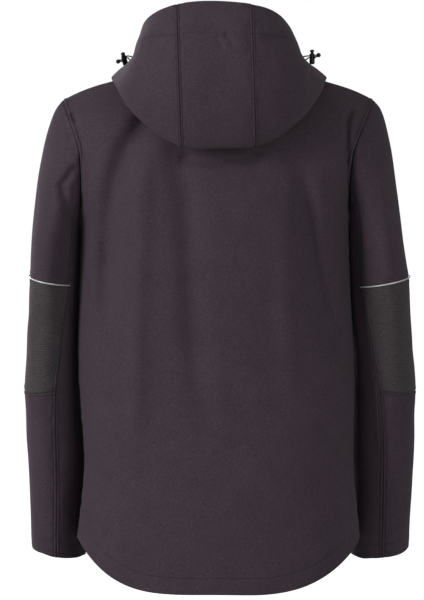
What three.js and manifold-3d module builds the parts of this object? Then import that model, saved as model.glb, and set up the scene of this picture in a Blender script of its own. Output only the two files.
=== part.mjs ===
// Softshell jacket with a hood, filled out as if worn, with nobody in it.
// Millimetres, +Z up. The jacket faces -Y, and +X is the wearer's left.
// The origin is the middle of the neck, at the height where the shoulder seams meet the neckline.
import * as THREE from 'three';
import Module from 'manifold-3d';
import { mergeVertices } from 'three/addons/utils/BufferGeometryUtils.js';

// Driving dimensions
const clothThickness = 2;
const sharpestMiter = 0.6; // keeps the inner edge of a sharp seam from running far out
const seamGap = 0.3;
const roundSideHandle = 0.62; // curve handle of a torso row, as a share of its half width or depth
const straightHandle = 0.33; // the same where the row leaves the armhole sideways
const middleHandle = 0.5; // the same at the middle of the back, at shoulder height
const sideLevelShare = 0.35; // how soon a row takes on the height of the torso's middle
const turnPower = 1.25; // how late up the armhole its rows turn from straight back to sideways
const gatherPower = 2.4; // how late up the armhole its rows draw together into the shoulder seam
const zipEdge = 4.5; // half the width left open between the fronts for the zip
const hoodStripHalf = 54; // half the width of the hood's middle strip
const hemSide = -705; // height of the hem at the side seams
const hemDrop = 81; // how far the back hem hangs below that
const hemDropPower = 4.2; // how squarely the drop tail turns up at its ends
const halfColumns = 11; // grid columns across half of the back
const neckColumn = 6; // of these, the column at the neck point, counted from the side
const frontColumns = 11;
const frontNeckColumn = 6;
const armholeRows = 12;
const lowerRows = 11;
const sleeveRound = 24;
const sleeveBackSeam = 9; // grid column of the sleeve's back seam, counted from the outside
const sleeveFrontSeam = 17;
const capRows = 8;
const capHandle = 0.95; // how straight the sleeve cap runs into the upper arm
const capRunOn = 20; // length below the cap that gives it its direction there

const colours = {
  softshell: 0x453e42,
  elbow: 0x413d3f,
  reflective: 0xc9ccd0,
  cord: 0x18171a,
  plastic: 0x1b1a1c,
  metal: 0x55555a,
};

// Torso sections from the armpits down: half width and the side seam's depth.
const torsoSections = [
  { z: -246, half: 200.0, sideY: -2 },
  { z: -300, half: 200.5, sideY: 3 },
  { z: -350, half: 202.0, sideY: 6 },
  { z: -423, half: 204.6, sideY: 8 },
  { z: -500, half: 203.7, sideY: 9 },
  { z: -590, half: 198.5, sideY: 10 },
  { z: -644, half: 203.5, sideY: 10 },
  { z: -705, half: 210.0, sideY: 10 },
  { z: -790, half: 211.0, sideY: 10 },
];

// The middle of the back from the nape down, and the middle of the front from the throat down.
const backMiddle = [
  { z: -18, y: 62 },
  { z: -60, y: 90 },
  { z: -110, y: 112 },
  { z: -170, y: 125 },
  { z: -246, y: 132 },
  { z: -350, y: 130 },
  { z: -450, y: 122 },
  { z: -590, y: 130 },
  { z: -790, y: 136 },
];
const frontMiddle = [
  { z: -85, y: -88 },
  { z: -110, y: -98 },
  { z: -150, y: -113 },
  { z: -200, y: -125 },
  { z: -260, y: -131 },
  { z: -350, y: -132 },
  { z: -500, y: -127 },
  { z: -640, y: -128 },
  { z: -790, y: -125 },
];

// How far the whole torso stands off the middle, towards the wearer's left.
const leans = [
  { z: 0, x: -2 },
  { z: -54, x: -2 },
  { z: -204, x: 3 },
  { z: -360, x: 3 },
  { z: -500, x: 0 },
  { z: -600, x: -3 },
  { z: -786, x: -1 },
];
const hoodLean = { atZero: 1.2, perMillimetre: 0.03 };

// The left armhole, from the shoulder tip round the back to the armpit and up the front.
// out, back, down: how the sleeve starts from it, in millimetres of curve handle.
const armhole = [
  { place: 'tip', x: 231, y: 2, z: -54, out: 90, back: 0, down: 60 },
  { place: 'backTop', x: 219, y: 42, z: -88, out: 70, back: 30, down: 60 },
  { place: 'backMiddle', x: 203, y: 63, z: -135, out: 55, back: 32, down: 80 },
  { place: 'backLow', x: 199, y: 46, z: -200, out: 45, back: 25, down: 60 },
  { place: 'armpit', x: 200, y: -2, z: -246, out: 34, back: 0, down: 18 },
  { place: 'frontLow', x: 194, y: -48, z: -212, out: 45, back: -25, down: 60 },
  { place: 'frontMiddle', x: 196, y: -64, z: -150, out: 55, back: -32, down: 80 },
  { place: 'frontTop', x: 214, y: -40, z: -92, out: 70, back: -30, down: 60 },
];

// Shoulder seam from the tip to the neck point.
const shoulderSeam = [
  { x: 231, y: 2, z: -54 },
  { x: 203, y: 2, z: -40 },
  { x: 173, y: 1, z: -30 },
  { x: 151, y: 0, z: -24 },
  { x: 112, y: -1, z: -12 },
  { x: 77, y: -2, z: 0 },
];

// Sleeve rings, by the height of their outer side. outer is the silhouette of each sleeve,
// tilt and slant lower a ring's back and inner side, and the seams are angles round from outside.
const sleeveRings = [
  {
    z: -300, left: 274.0, right: 286.0, inner: 205, y: -8, deep: 72, skew: 9,
    tilt: 0.10, slant: 0.14, backSeam: 149, frontSeam: 254,
  },
  {
    z: -315, left: 274.5, right: 288.6, inner: 205.5, y: -9, deep: 71, skew: 9,
    tilt: 0.10, slant: 0.2, backSeam: 148, frontSeam: 254,
  },
  {
    z: -382, left: 278.6, right: 291.0, inner: 207, y: -15, deep: 68, skew: 9,
    tilt: 0.11, slant: 0.1, backSeam: 132, frontSeam: 257,
  },
  {
    z: -430, left: 282.0, right: 293.5, inner: 207, y: -20, deep: 66, skew: 8,
    tilt: 0.12, slant: -0.02, backSeam: 122, frontSeam: 259,
  },
  {
    z: -485, left: 286.5, right: 296.5, inner: 206, y: -26, deep: 65, skew: 8,
    tilt: 0.148, slant: -0.14, backSeam: 112, frontSeam: 262,
  },
  {
    z: -502, left: 284.9, right: 294.0, inner: 206, y: -28, deep: 64, skew: 8,
    tilt: 0.16, slant: -0.1, backSeam: 110, frontSeam: 263,
  },
  {
    z: -545, left: 285.7, right: 293.0, inner: 203, y: -34, deep: 62, skew: 8,
    tilt: 0.18, slant: 0, backSeam: 105, frontSeam: 266,
  },
  {
    z: -620, left: 282.7, right: 288.5, inner: 199, y: -45, deep: 58, skew: 7,
    tilt: 0.22, slant: 0.1, backSeam: 100, frontSeam: 272,
  },
  {
    z: -700, left: 279.5, right: 284.8, inner: 197, y: -57, deep: 51, skew: 6,
    tilt: 0.24, slant: 0.15, backSeam: 95, frontSeam: 280,
  },
  {
    z: -718, left: 278.5, right: 284.5, inner: 197, y: -59, deep: 49, skew: 5,
    tilt: 0.24, slant: 0.15, backSeam: 94, frontSeam: 282,
  },
];
const capEnd = -300;
const patchTop = -315;
const patchBottom = -485;
const cuffEnd = -718;
const patchRows = 6;
const forearmRows = 8;
const piping = { half: 1.1, thickness: 1.4, lift: 1.7 }; // half its width, and how far its face stands out

// Hood rings from the neck seam, under and over the fold, to the brim. Each cell is a point
// [x, y, z] of the left half, at seven stations from the middle of the back to the front end.
const hoodRings = [
  {
    ring: 'under', back: [0, 105, -70], seam: [50, 100, -67], corner: [88, 72, -40],
    side: [114, 30, -9], ear: [113, -14, -7], jaw: [80, -62, -38], front: [36, -92, -74],
  },
  {
    ring: 'fold', back: [0, 150, -130], seam: [54, 146, -128], corner: [112, 117, -91],
    side: [149, 55, -38], ear: [154, 0, -20], jaw: [97, -76, -47], front: [36, -98, -72],
  },
  {
    ring: 'bulge', back: [0, 176, -42], seam: [55, 172, -43], corner: [122, 134, -42],
    side: [149, 62, -25], ear: [140, -4, -8], jaw: [98, -78, -35], front: [35, -101, -66],
  },
  {
    ring: 'brimStitch', back: [0, 160, 41], seam: [55, 156, 39], corner: [106, 118, 33],
    side: [119, 52, 14], ear: [126, -8, 1], jaw: [96, -75, -22], front: [33, -101, -58],
  },
  {
    ring: 'brim', back: [0, 128, 89], seam: [55, 123, 84], corner: [95, 95, 68],
    side: [112, 42, 40], ear: [120, -10, 11], jaw: [91, -69, -11], front: [32, -99, -50],
  },
];
const hoodStations = ['back', 'seam', 'corner', 'side', 'ear', 'jaw', 'front'];
const hoodRowsPerRing = 4;
const hoodStripColumns = 3;
const hoodSideColumns = 12;
const hoodNeckSetOff = 2.8; // how far down the panel the hood's neck edge lies from the neckline
// Each station's place along the neckline, how steeply the panel falls away there, and how far
// the hood's edge stands off it.
const neckStations = [
  { share: 0, fall: 57, lift: 0.8 },
  { share: 0.16, fall: 52, lift: 1.0 },
  { share: 0.3, fall: 38, lift: 1.15 },
  { share: 0.44, fall: 21, lift: 1.5 },
  { share: 0.54, fall: 21, lift: 1.5 },
  { share: 0.7, fall: 40, lift: 1.1 },
  { share: 0.86, fall: 58, lift: 1.0 },
];
const hoodFuller = { left: 1, right: 1.08 }; // the hood stands out further on its right side

// The collar's top edge: middle of the back, side and front, and how far its middle bows out.
const collarTop = { backY: 56, backZ: 44, sideX: 68, sideY: -6, sideZ: 40, frontY: -84, frontZ: -27 };
const collarTopSlope = 0.35; // how fast the top edge falls towards the front, at the side of the neck
const collarTopHandles = { side: 0.5, back: 0.6, front: 0.7 }; // shares of the depth and of the half width
const collarBowFrom = -12; // depth of the point from which the collar bows outward
const collarRows = 4;
const collarBow = 2.5;

// Zip
const chainHalf = 3;
const chainThickness = 3;
const tapeStart = 3.3;
const tapeEnd = 11;
const tapeThickness = 1;
const tapeBehind = 0.8; // the tape's face lies this far behind the cloth
const tapeTurnIn = 1.1; // its sewn edge lies this much deeper, clear of the curving front
const tapeTopDrop = 1;
const chainDepth = 0.2; // depth of the chain's face behind the fronts' outer face
const zipBottom = -694;
const leastZipStep = 2; // no row of the zip lies closer than this to its ends
const box = { width: 8, deep: 4.2, tall: 10.5, proud: 0.4 };
const slider = {
  z: -36, long: 11, width: 9.6, frontPlate: 1.9, backPlate: 1.4, lift: 0.5, backDepth: 4.7, postWidth: 2.4,
  postTall: 2, bridgeWidth: 2.4, bridgeLong: 8, bridgeRise: 4.2, bridgeBar: 1.4, hollowLong: 4.6,
};
const chainStop = 2.6; // the chain ends this far above the slider's middle
const tab = {
  bar: 0.8, barSides: 12, armInner: 1.8, armWidth: 1.4, thickness: 1.6, long: 30, plateStart: 7, width: 6.4,
};

// Hood drawcord: cord, eyelets, cord lock and cord end
const cord = { radius: 1, sides: 8, step: 4.5 };
const cordGap = 0.3;
const eyelet = { outer: 3.6, inner: 1.6, tall: 1, bevel: 0.5, segments: 12 };
const barrel = {
  radius: 4, below: 10.7, above: 5, bore: 2.75, boreBottom: -6.4, footBevel: 1.2, footBevelTall: 1.6,
  rimBevel: 0.6, rimBevelTall: 0.8, segments: 16,
};
const plunger = {
  radius: 2.35, bottom: -3.4, headRadius: 3.3, headBottom: 7.8, top: 10.8, headBevel: 0.9, segments: 12,
};
const plungerTravel = 2.2;
const strandOffset = 1.3; // each strand's distance from the middle of the lock's slot
const slot = { width: 2.8, tall: 5.6, length: 12 }; // cut right through the barrel and the plunger
const cordEnd = { radius: 3.4, segments: 12, rows: 8 };
// A strand's route: how deep in the eyelet it starts, how far it runs straight out, how far it
// runs straight on both sides of the lock's middle, and how far it stops short of the cord end.
const strand = { start: 0.6, out: 4, beforeLock: 6, afterLock: 4.5, shortOfEnd: 0.7, leastSteps: 6 };

// The two locks. centre and end are where the lock and the cord end hang, axis is the barrel's.
// upper and lower say where on the hood the strands come out: station 0 to 6, ring 0 to 5.
const cordLocks = [
  {
    side: 'left', centre: [138, 0, 6.5], axis: [0.2, 0.55, 0.81], end: [147, 9.5, 2.5],
    upper: { station: 4.03, ring: 4.8 }, lower: { station: 4.09, ring: 4.3 },
  },
  {
    side: 'right', centre: [-141.5, -2, 9.5], axis: [0, 0.12, 0.99], end: [-151, 8.5, 12],
    upper: { station: 4.03, ring: 4.8 }, lower: { station: 4.09, ring: 4.3 },
  },
];

const wasm = await Module();
wasm.setup();

const jacket = new THREE.Group();
jacket.name = 'softshell_jacket';

const vec = (x, y, z) => new THREE.Vector3(x, y, z);
const radians = THREE.MathUtils.degToRad;
const lerp = THREE.MathUtils.lerp;
const range = (count) => Array.from({ length: count }, (_, index) => index);

function material(colour, roughness = 0.85, metalness = 0) {
  return new THREE.MeshStandardMaterial({ color: colour, roughness, metalness });
}
const softshell = material(colours.softshell, 0.9);
const elbowCloth = material(colours.elbow, 0.95);
const reflective = material(colours.reflective, 0.35, 0.2);
const cordStuff = material(colours.cord, 0.8);
const plastic = material(colours.plastic, 0.4);
const metal = material(colours.metal, 0.35, 0.9);

// One column of a table at a height, along a smooth curve through its rows.
function column(rows, name, at) {
  let i = 0;
  const falling = rows[0].z > rows[1].z ? 1 : -1;
  while (i < rows.length - 2 && falling * (rows[i + 1].z - at) > 0) i += 1;
  const slope = (n) => {
    const before = rows[Math.max(n - 1, 0)];
    const after = rows[Math.min(n + 1, rows.length - 1)];
    return (after[name] - before[name]) / (after.z - before.z);
  };
  const step = rows[i + 1].z - rows[i].z;
  const t = THREE.MathUtils.clamp((at - rows[i].z) / step, 0, 1);
  const s = 1 - t;
  const start = rows[i][name] * (1 + 2 * t) * s * s + slope(i) * step * t * s * s;
  const end = rows[i + 1][name] * (3 - 2 * t) * t * t - slope(i + 1) * step * t * t * s;
  return start + end;
}

// A point of a left half, put on its own side of the jacket and leaned with it.
function onSide(p, side) {
  return vec(side * p.x + column(leans, 'x', p.z), p.y, p.z);
}

function hermite(from, startHandle, to, endHandle, t) {
  const s = 1 - t;
  return vec(0, 0, 0)
    .addScaledVector(from, (1 + 2 * t) * s * s)
    .addScaledVector(startHandle, t * s * s)
    .addScaledVector(to, (3 - 2 * t) * t * t)
    .addScaledVector(endHandle, -t * t * s);
}

// Cloth pieces. Each is a grid of points on its outer face, rows upward and columns
// anticlockwise seen from above, so that the face looks outward. Pieces that share a seam
// share its points, and the wall's inner edge there follows the mean of their directions.
const pieces = [];

function addCloth(name, grid, stuff, { seams = [], thickness = clothThickness } = {}) {
  pieces.push({ name, grid, stuff, seams, thickness });
}

function gridNormal(grid, r, c) {
  const rows = grid.length - 1;
  const columns = grid[0].length - 1;
  const along = grid[r][Math.min(c + 1, columns)].clone().sub(grid[r][Math.max(c - 1, 0)]);
  const upward = grid[Math.min(r + 1, rows)][c].clone().sub(grid[Math.max(r - 1, 0)][c]);
  return along.cross(upward).normalize();
}

// Points of two pieces within a tenth of a millimetre are one seam point. The small shift keeps
// round sizes, such as zero, off the border between two tenths.
const keySteps = 10;
const keyShift = 0.0137;
const keyOf = (p) => [p.x, p.y, p.z].map((value) => Math.round(value * keySteps + keyShift)).join(',');

// The directions in which cloth faces at each seam point, and their mean. Two pieces that face
// nearly the same way count once, so that an armpit's mean lies between torso and sleeve.
const sameWay = 0.9;

function meanNormals() {
  const seen = new Map();
  for (const { grid } of pieces) {
    grid.forEach((row, r) => row.forEach((p, c) => {
      const edge = r === 0 || c === 0 || r === grid.length - 1 || c === row.length - 1;
      if (!edge) return;
      const ways = seen.get(keyOf(p)) ?? [];
      const normal = gridNormal(grid, r, c);
      const like = ways.find((way) => way.clone().normalize().dot(normal) > sameWay);
      if (like) like.add(normal);
      else ways.push(normal);
      seen.set(keyOf(p), ways);
    }));
  }
  return new Map([...seen].map(([key, ways]) => {
    const sum = ways.reduce((total, way) => total.add(way.clone().normalize()), vec(0, 0, 0));
    return [key, { sum, count: ways.length }];
  }));
}

// The small step that parts a piece from its neighbour along each of its seams.
function seamStep(grid, r, c, normal, seams) {
  const rows = grid.length - 1;
  const columns = grid[0].length - 1;
  const step = vec(0, 0, 0);
  const here = grid[r][c];
  const add = (before, after, inside) => {
    const sides = [here.clone().sub(before), after.clone().sub(here)]
      .filter((run) => run.length() > 0)
      .map((run) => run.cross(normal).normalize());
    const [first, second = first] = sides;
    const side = first.clone().add(second).divideScalar(1 + Math.max(first.dot(second), 0));
    if (side.dot(inside.clone().sub(here)) < 0) side.negate();
    step.addScaledVector(side, seamGap / 2);
  };
  const left = grid[r][Math.max(c - 1, 0)];
  const right = grid[r][Math.min(c + 1, columns)];
  const below = grid[Math.max(r - 1, 0)][c];
  const above = grid[Math.min(r + 1, rows)][c];
  if (r === 0 && seams.includes('bottom')) add(left, right, above);
  if (r === rows && seams.includes('top')) add(left, right, below);
  if (c === 0 && seams.includes('first')) add(below, above, right);
  if (c === columns && seams.includes('last')) add(below, above, left);
  return step;
}

// Two neighbours cut the twisted strip along their seam by the same diagonal if both rank its
// points along this one direction.
const unevenDirection = vec(0.59, 0.53, 0.61);

function solidFrom(positions, triangles, stuff, name) {
  const geometry = new THREE.BufferGeometry();
  geometry.setAttribute('position', new THREE.Float32BufferAttribute(positions, 3));
  geometry.setIndex(triangles);
  geometry.computeVertexNormals();
  const mesh = new THREE.Mesh(geometry, stuff);
  mesh.name = name;
  return mesh;
}

// A closed wall: the outer points, the same points moved in, and strips round the edges.
function wall({ name, grid, stuff, seams, thickness }, normals) {
  const rows = grid.length;
  const columns = grid[0].length;
  const outer = [];
  const inner = [];
  grid.forEach((row, r) => row.forEach((p, c) => {
    const shared = normals.get(keyOf(p));
    const normal = shared ? shared.sum.clone().normalize() : gridNormal(grid, r, c);
    const miter = shared ? Math.max(shared.sum.length() / shared.count, sharpestMiter) : 1;
    const edgeStep = seamStep(grid, r, c, normal, seams);
    outer.push(p.clone().add(edgeStep));
    inner.push(p.clone().add(edgeStep).addScaledVector(normal, -thickness / miter));
  }));
  const positions = [...outer, ...inner].flatMap((p) => [p.x, p.y, p.z]);
  const triangles = [];
  const quad = (a, b, c, d) => triangles.push(a, b, c, a, c, d);
  const at = (r, c) => r * columns + c;
  const under = rows * columns;
  for (const r of range(rows - 1)) {
    for (const c of range(columns - 1)) {
      const corners = [at(r, c), at(r, c + 1), at(r + 1, c + 1), at(r + 1, c)];
      quad(...corners);
      quad(...corners.map((n) => n + under).reverse());
    }
  }
  const edge = [
    ...range(columns - 1).map((c) => at(0, c)),
    ...range(rows - 1).map((r) => at(r, columns - 1)),
    ...range(columns - 1).map((c) => at(rows - 1, columns - 1 - c)),
    ...range(rows - 1).map((r) => at(rows - 1 - r, 0)),
  ];
  edge.forEach((from, n) => {
    const to = edge[(n + 1) % edge.length];
    const rank = (index) => grid[Math.floor(index / columns)][index % columns].dot(unevenDirection);
    if (rank(from) < rank(to)) quad(to, from, from + under, to + under);
    else quad(from, from + under, to + under, to);
  });
  return solidFrom(positions, triangles, stuff, name);
}

// Torso
const armholeCurve = new THREE.CatmullRomCurve3(armhole.map((p) => vec(p.x, p.y, p.z)), true);
const sleeveStartCurve = new THREE.CatmullRomCurve3(armhole.map((p) => vec(p.out, p.back, -p.down)), true);
const shoulderCurve = new THREE.CatmullRomCurve3(shoulderSeam.map((p) => vec(p.x, p.y, p.z)));
const neckPoint = vec(shoulderSeam.at(-1).x, shoulderSeam.at(-1).y, shoulderSeam.at(-1).z);
const nape = vec(0, backMiddle[0].y, backMiddle[0].z);
const throat = vec(zipEdge, frontMiddle[0].y, frontMiddle[0].z);
const necklineHandles = {
  back: [vec(77, 34, -4), vec(42, 62, -18)],
  front: [vec(78, -36, -20), vec(52, -89, -82)],
};
const backNeckline = new THREE.CubicBezierCurve3(neckPoint, ...necklineHandles.back, nape);
const frontNeckline = new THREE.CubicBezierCurve3(neckPoint, ...necklineHandles.front, throat);

const sideways = Math.PI / 2;

// A torso row runs from its side point to the middle of the back or front. It leaves the side
// straight back or forward, or turned inward from that.
function rowCurve(edge, turn, middle, face) {
  const away = Math.abs(middle.y - edge.y);
  const across = edge.x - middle.x;
  const reach = roundSideHandle * away * Math.cos(turn) + straightHandle * across * Math.sin(turn);
  const turnedSide = edge.clone().add(vec(-Math.sin(turn) * reach, face * Math.cos(turn) * reach, 0));
  turnedSide.z = lerp(edge.z, middle.z, sideLevelShare);
  const fromMiddle = lerp(roundSideHandle, middleHandle, Math.sin(turn)) * across;
  const levelMiddle = vec(middle.x + fromMiddle, middle.y, middle.z);
  return new THREE.CubicBezierCurve3(edge, turnedSide, levelMiddle, middle);
}

// A point of the seam that closes the torso's top: along the shoulder, then along the neckline.
function topPoint(u, neckShare, neckline) {
  if (u <= neckShare) return shoulderCurve.getPoint(u / neckShare);
  return neckline.getPoint((u - neckShare) / (1 - neckShare));
}

// The rows of one torso half, from the hem up: below the armpit at the sections' heights,
// then along the armhole, where they gather into the shoulder seam and the neckline.
function torsoHalf({ face, columns, neckAt, middleTable, neckline, middleX, hemHeight }) {
  const sectionPoint = (u, z) => {
    const edge = vec(column(torsoSections, 'half', z), column(torsoSections, 'sideY', z), z);
    const middle = vec(middleX, column(middleTable, 'y', z), z);
    return rowCurve(edge, 0, middle, face).getPoint(u);
  };
  const armpitZ = torsoSections[0].z;
  const rows = [];
  for (const r of range(lowerRows)) {
    rows.push(range(columns + 1).map((c) => {
      const u = c / columns;
      const rough = sectionPoint(u, hemSide);
      const z = lerp(hemHeight(rough.x), armpitZ, r / lowerRows);
      return sectionPoint(u, z);
    }));
  }
  const neckShare = neckAt / columns;
  const topZ = middleTable[0].z;
  const tipMiddle = vec(middleX, middleTable[0].y, topZ);
  const tipRow = rowCurve(armholeCurve.getPoint(0), sideways, tipMiddle, face);
  for (const r of range(armholeRows + 1)) {
    const climb = r / armholeRows;
    const along = face > 0 ? 0.5 * (1 - climb) : (0.5 + 0.5 * climb) % 1;
    const turn = sideways * climb ** turnPower;
    const z = lerp(armpitZ, topZ, climb);
    const middle = vec(middleX, column(middleTable, 'y', z), z);
    const curve = rowCurve(armholeCurve.getPoint(along), turn, middle, face);
    rows.push(range(columns + 1).map((c) => {
      const u = c / columns;
      const gather = topPoint(u, neckShare, neckline).sub(tipRow.getPoint(u));
      return curve.getPoint(u).addScaledVector(gather, climb ** gatherPower);
    }));
  }
  return rows;
}

const hemHalf = column(torsoSections, 'half', hemSide);
const backHalf = torsoHalf({
  face: 1,
  columns: halfColumns,
  neckAt: neckColumn,
  middleTable: backMiddle,
  neckline: backNeckline,
  middleX: 0,
  hemHeight: (x) => hemSide - hemDrop * (1 - (x / hemHalf) ** hemDropPower),
});
const frontHalf = torsoHalf({
  face: -1,
  columns: frontColumns,
  neckAt: frontNeckColumn,
  middleTable: frontMiddle,
  neckline: frontNeckline,
  middleX: zipEdge,
  hemHeight: () => hemSide,
});

const backGrid = backHalf.map((row) => [
  ...row.map((p) => onSide(p, 1)),
  ...row.slice(0, -1).reverse().map((p) => onSide(p, -1)),
]);
addCloth('back_panel', backGrid, softshell, { seams: ['first', 'last', 'top'] });
const frontGrids = {
  left: frontHalf.map((row) => row.map((p) => onSide(p, 1)).reverse()),
  right: frontHalf.map((row) => row.map((p) => onSide(p, -1))),
};
addCloth('front_left', frontGrids.left, softshell, { seams: ['last', 'top'] });
addCloth('front_right', frontGrids.right, softshell, { seams: ['first', 'top'] });

// Sleeves
function ringPoint(level, angle, sideName) {
  const at = (name) => column(sleeveRings, name, level);
  const outer = at(sideName);
  const inner = at('inner');
  const reach = (outer - inner) / 2;
  const skew = at('skew');
  const narrow = Math.sqrt(reach * reach - skew * skew);
  const x = (outer + inner) / 2 + narrow * Math.cos(angle) + skew * Math.sin(angle);
  const behind = at('deep') * Math.sin(angle);
  return vec(x, at('y') + behind, level - at('tilt') * behind - at('slant') * (outer - x));
}

// Angle round the ring of a grid column, spaced evenly between the two seams.
function ringAngle(level, index) {
  const back = column(sleeveRings, 'backSeam', level);
  const front = column(sleeveRings, 'frontSeam', level);
  if (index <= sleeveBackSeam) return radians(back * (index / sleeveBackSeam));
  if (index <= sleeveFrontSeam) {
    return radians(lerp(back, front, (index - sleeveBackSeam) / (sleeveFrontSeam - sleeveBackSeam)));
  }
  return radians(lerp(front, 360, (index - sleeveFrontSeam) / (sleeveRound - sleeveFrontSeam)));
}

function ring(level, sideName) {
  return range(sleeveRound).map((index) => ringPoint(level, ringAngle(level, index), sideName));
}

function capRow(share, sideName) {
  const bicep = ring(capEnd, sideName);
  const below = ring(capEnd - capRunOn, sideName);
  return range(sleeveRound).map((index) => {
    const from = armholeCurve.getPoint(index / sleeveRound);
    const start = sleeveStartCurve.getPoint(index / sleeveRound);
    const onward = below[index].clone().sub(bicep[index]).normalize();
    const end = onward.multiplyScalar(capHandle * from.distanceTo(bicep[index]));
    return hermite(from, start, bicep[index], end, share);
  });
}

function sleeveGrid(rows, indexes, side) {
  const turned = rows.map((row) => indexes.map((index) => onSide(row[index % sleeveRound], side)));
  turned.reverse();
  return side > 0 ? turned : turned.map((row) => row.reverse());
}

// Grid columns of the sleeve's two pieces: across the outer arm between the seams, and the rest.
const outerCount = sleeveRound - sleeveFrontSeam + sleeveBackSeam + 1;
const outerIndexes = range(outerCount).map((n) => n + sleeveFrontSeam);
const underIndexes = range(sleeveFrontSeam - sleeveBackSeam + 1).map((n) => n + sleeveBackSeam);

for (const [sideName, side] of [['left', 1], ['right', -1]]) {
  const cap = range(capRows + 1).map((m) => capRow(m / capRows, sideName));
  const levels = (from, to, count) => (
    range(count).map((m) => ring(lerp(from, to, (m + 1) / count), sideName))
  );
  const head = [...cap, ...levels(capEnd, patchTop, 1)];
  const patch = levels(patchTop, patchBottom, patchRows);
  const forearm = levels(patchBottom, cuffEnd, forearmRows);
  const sewn = { seams: ['first', 'last', 'top', 'bottom'] };
  const open = { seams: ['first', 'last', 'top'] };
  addCloth(`upper_sleeve_${sideName}`, sleeveGrid(head, outerIndexes, side), softshell, sewn);
  const elbow = sleeveGrid([head.at(-1), ...patch], outerIndexes, side);
  addCloth(`elbow_patch_${sideName}`, elbow, elbowCloth, sewn);
  const lower = sleeveGrid([patch.at(-1), ...forearm], outerIndexes, side);
  addCloth(`lower_sleeve_${sideName}`, lower, softshell, open);
  const under = sleeveGrid([...head, ...patch, ...forearm], underIndexes, side);
  addCloth(`under_sleeve_${sideName}`, under, softshell, open);
  addPiping(sideName, side);
}

// Reflective piping: a narrow strip over the seam above the elbow patch, moved out from it.
function addPiping(sideName, side) {
  const edge = (level) => ring(level, sideName);
  const rows = [edge(patchTop + piping.half), edge(patchTop - piping.half)];
  const grid = sleeveGrid(rows, outerIndexes, side);
  const raised = grid.map((row, r) => row.map((p, c) => (
    p.clone().addScaledVector(gridNormal(grid, r, c), piping.lift)
  )));
  addCloth(`piping_${sideName}`, raised, reflective, { thickness: piping.thickness });
}

// Neckline from the middle of the back to the throat, by share of its stations.
function necklinePoint(share) {
  return share < 0.5 ? backNeckline.getPoint(1 - 2 * share) : frontNeckline.getPoint(2 * share - 1);
}

// Collar: up from the neckline to its own top edge.
const collarSide = vec(collarTop.sideX, collarTop.sideY, collarTop.sideZ);
const collarTopBack = new THREE.CubicBezierCurve3(
  collarSide,
  collarSide.clone().add(vec(0, 1, collarTopSlope).multiplyScalar(collarTop.backY * collarTopHandles.side)),
  vec(collarTop.sideX * collarTopHandles.back, collarTop.backY, collarTop.backZ),
  vec(0, collarTop.backY, collarTop.backZ),
);
const collarTopFront = new THREE.CubicBezierCurve3(
  collarSide,
  collarSide.clone().add(vec(0, 1, collarTopSlope).multiplyScalar(collarTop.frontY * collarTopHandles.side)),
  vec(collarTop.sideX * collarTopHandles.front, collarTop.frontY, collarTop.frontZ),
  vec(zipEdge, collarTop.frontY, collarTop.frontZ),
);

function collarPoint(share, up) {
  const low = necklinePoint(share);
  const backPart = share < 0.5;
  const high = backPart ? collarTopBack.getPoint(1 - 2 * share) : collarTopFront.getPoint(2 * share - 1);
  const point = low.clone().lerp(high, up);
  const outward = vec(low.x, low.y - collarBowFrom, 0).normalize();
  return point.addScaledVector(outward, collarBow * Math.sin(Math.PI * up));
}

const backShares = range(halfColumns - neckColumn).map((n) => 0.5 * (n / (halfColumns - neckColumn)));
const frontShares = range(frontColumns - frontNeckColumn + 1).map(
  (n) => 0.5 + 0.5 * (n / (frontColumns - frontNeckColumn)),
);
const collarShares = [...backShares, ...frontShares];
const collarGrid = range(collarRows + 1).map((r) => {
  const half = collarShares.map((share) => collarPoint(share, r / collarRows));
  return [
    ...half.map((p) => onSide(p, 1)).reverse(),
    ...half.slice(1).map((p) => onSide(p, -1)),
  ];
});
addCloth('collar', collarGrid, softshell, { seams: ['bottom'] });

// Hood
// How far to either side a curve's direction is taken, in shares of it or in stations.
const nearby = 0.01;

// The hood's neck edge lies on the panels just outside the neckline.
function hoodNeckEdge(station) {
  const low = Math.min(Math.floor(station), neckStations.length - 2);
  const between = (name) => lerp(neckStations[low][name], neckStations[low + 1][name], station - low);
  const share = between('share');
  const fall = radians(between('fall'));
  const p = necklinePoint(share);
  const ahead = necklinePoint(share + nearby).sub(necklinePoint(Math.max(share - nearby, 0)));
  const outward = share === 0 ? vec(0, 1, 0) : vec(-ahead.y, ahead.x, 0).normalize();
  if (outward.x < 0) outward.negate();
  const lift = between('lift');
  const along = hoodNeckSetOff * Math.cos(fall) + lift * Math.sin(fall);
  const down = hoodNeckSetOff * Math.sin(fall) - lift * Math.cos(fall);
  return p.addScaledVector(outward, along).add(vec(0, 0, -down));
}

// A ring's curve runs on past the middle of the back, so that it is level there.
const mirroredStations = 2;
function ringCurve(row) {
  const half = hoodStations.map((station) => vec(...row[station]));
  const opposite = half.slice(1, 1 + mirroredStations).reverse().map((p) => vec(-p.x, p.y, p.z));
  return new THREE.CatmullRomCurve3([...opposite, ...half]);
}
const hoodCurves = hoodRings.map(ringCurve);
const hoodSpan = hoodStations.length - 1;

// A point of the hood's left half, by station along a ring and by ring from the neck seam up.
function hoodPoint(station, ringAt) {
  const share = (station + mirroredStations) / (hoodSpan + mirroredStations);
  const stops = [hoodNeckEdge(station), ...hoodCurves.map((curve) => curve.getPoint(share))];
  return new THREE.CatmullRomCurve3(stops).getPoint(ringAt / hoodCurves.length);
}

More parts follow.
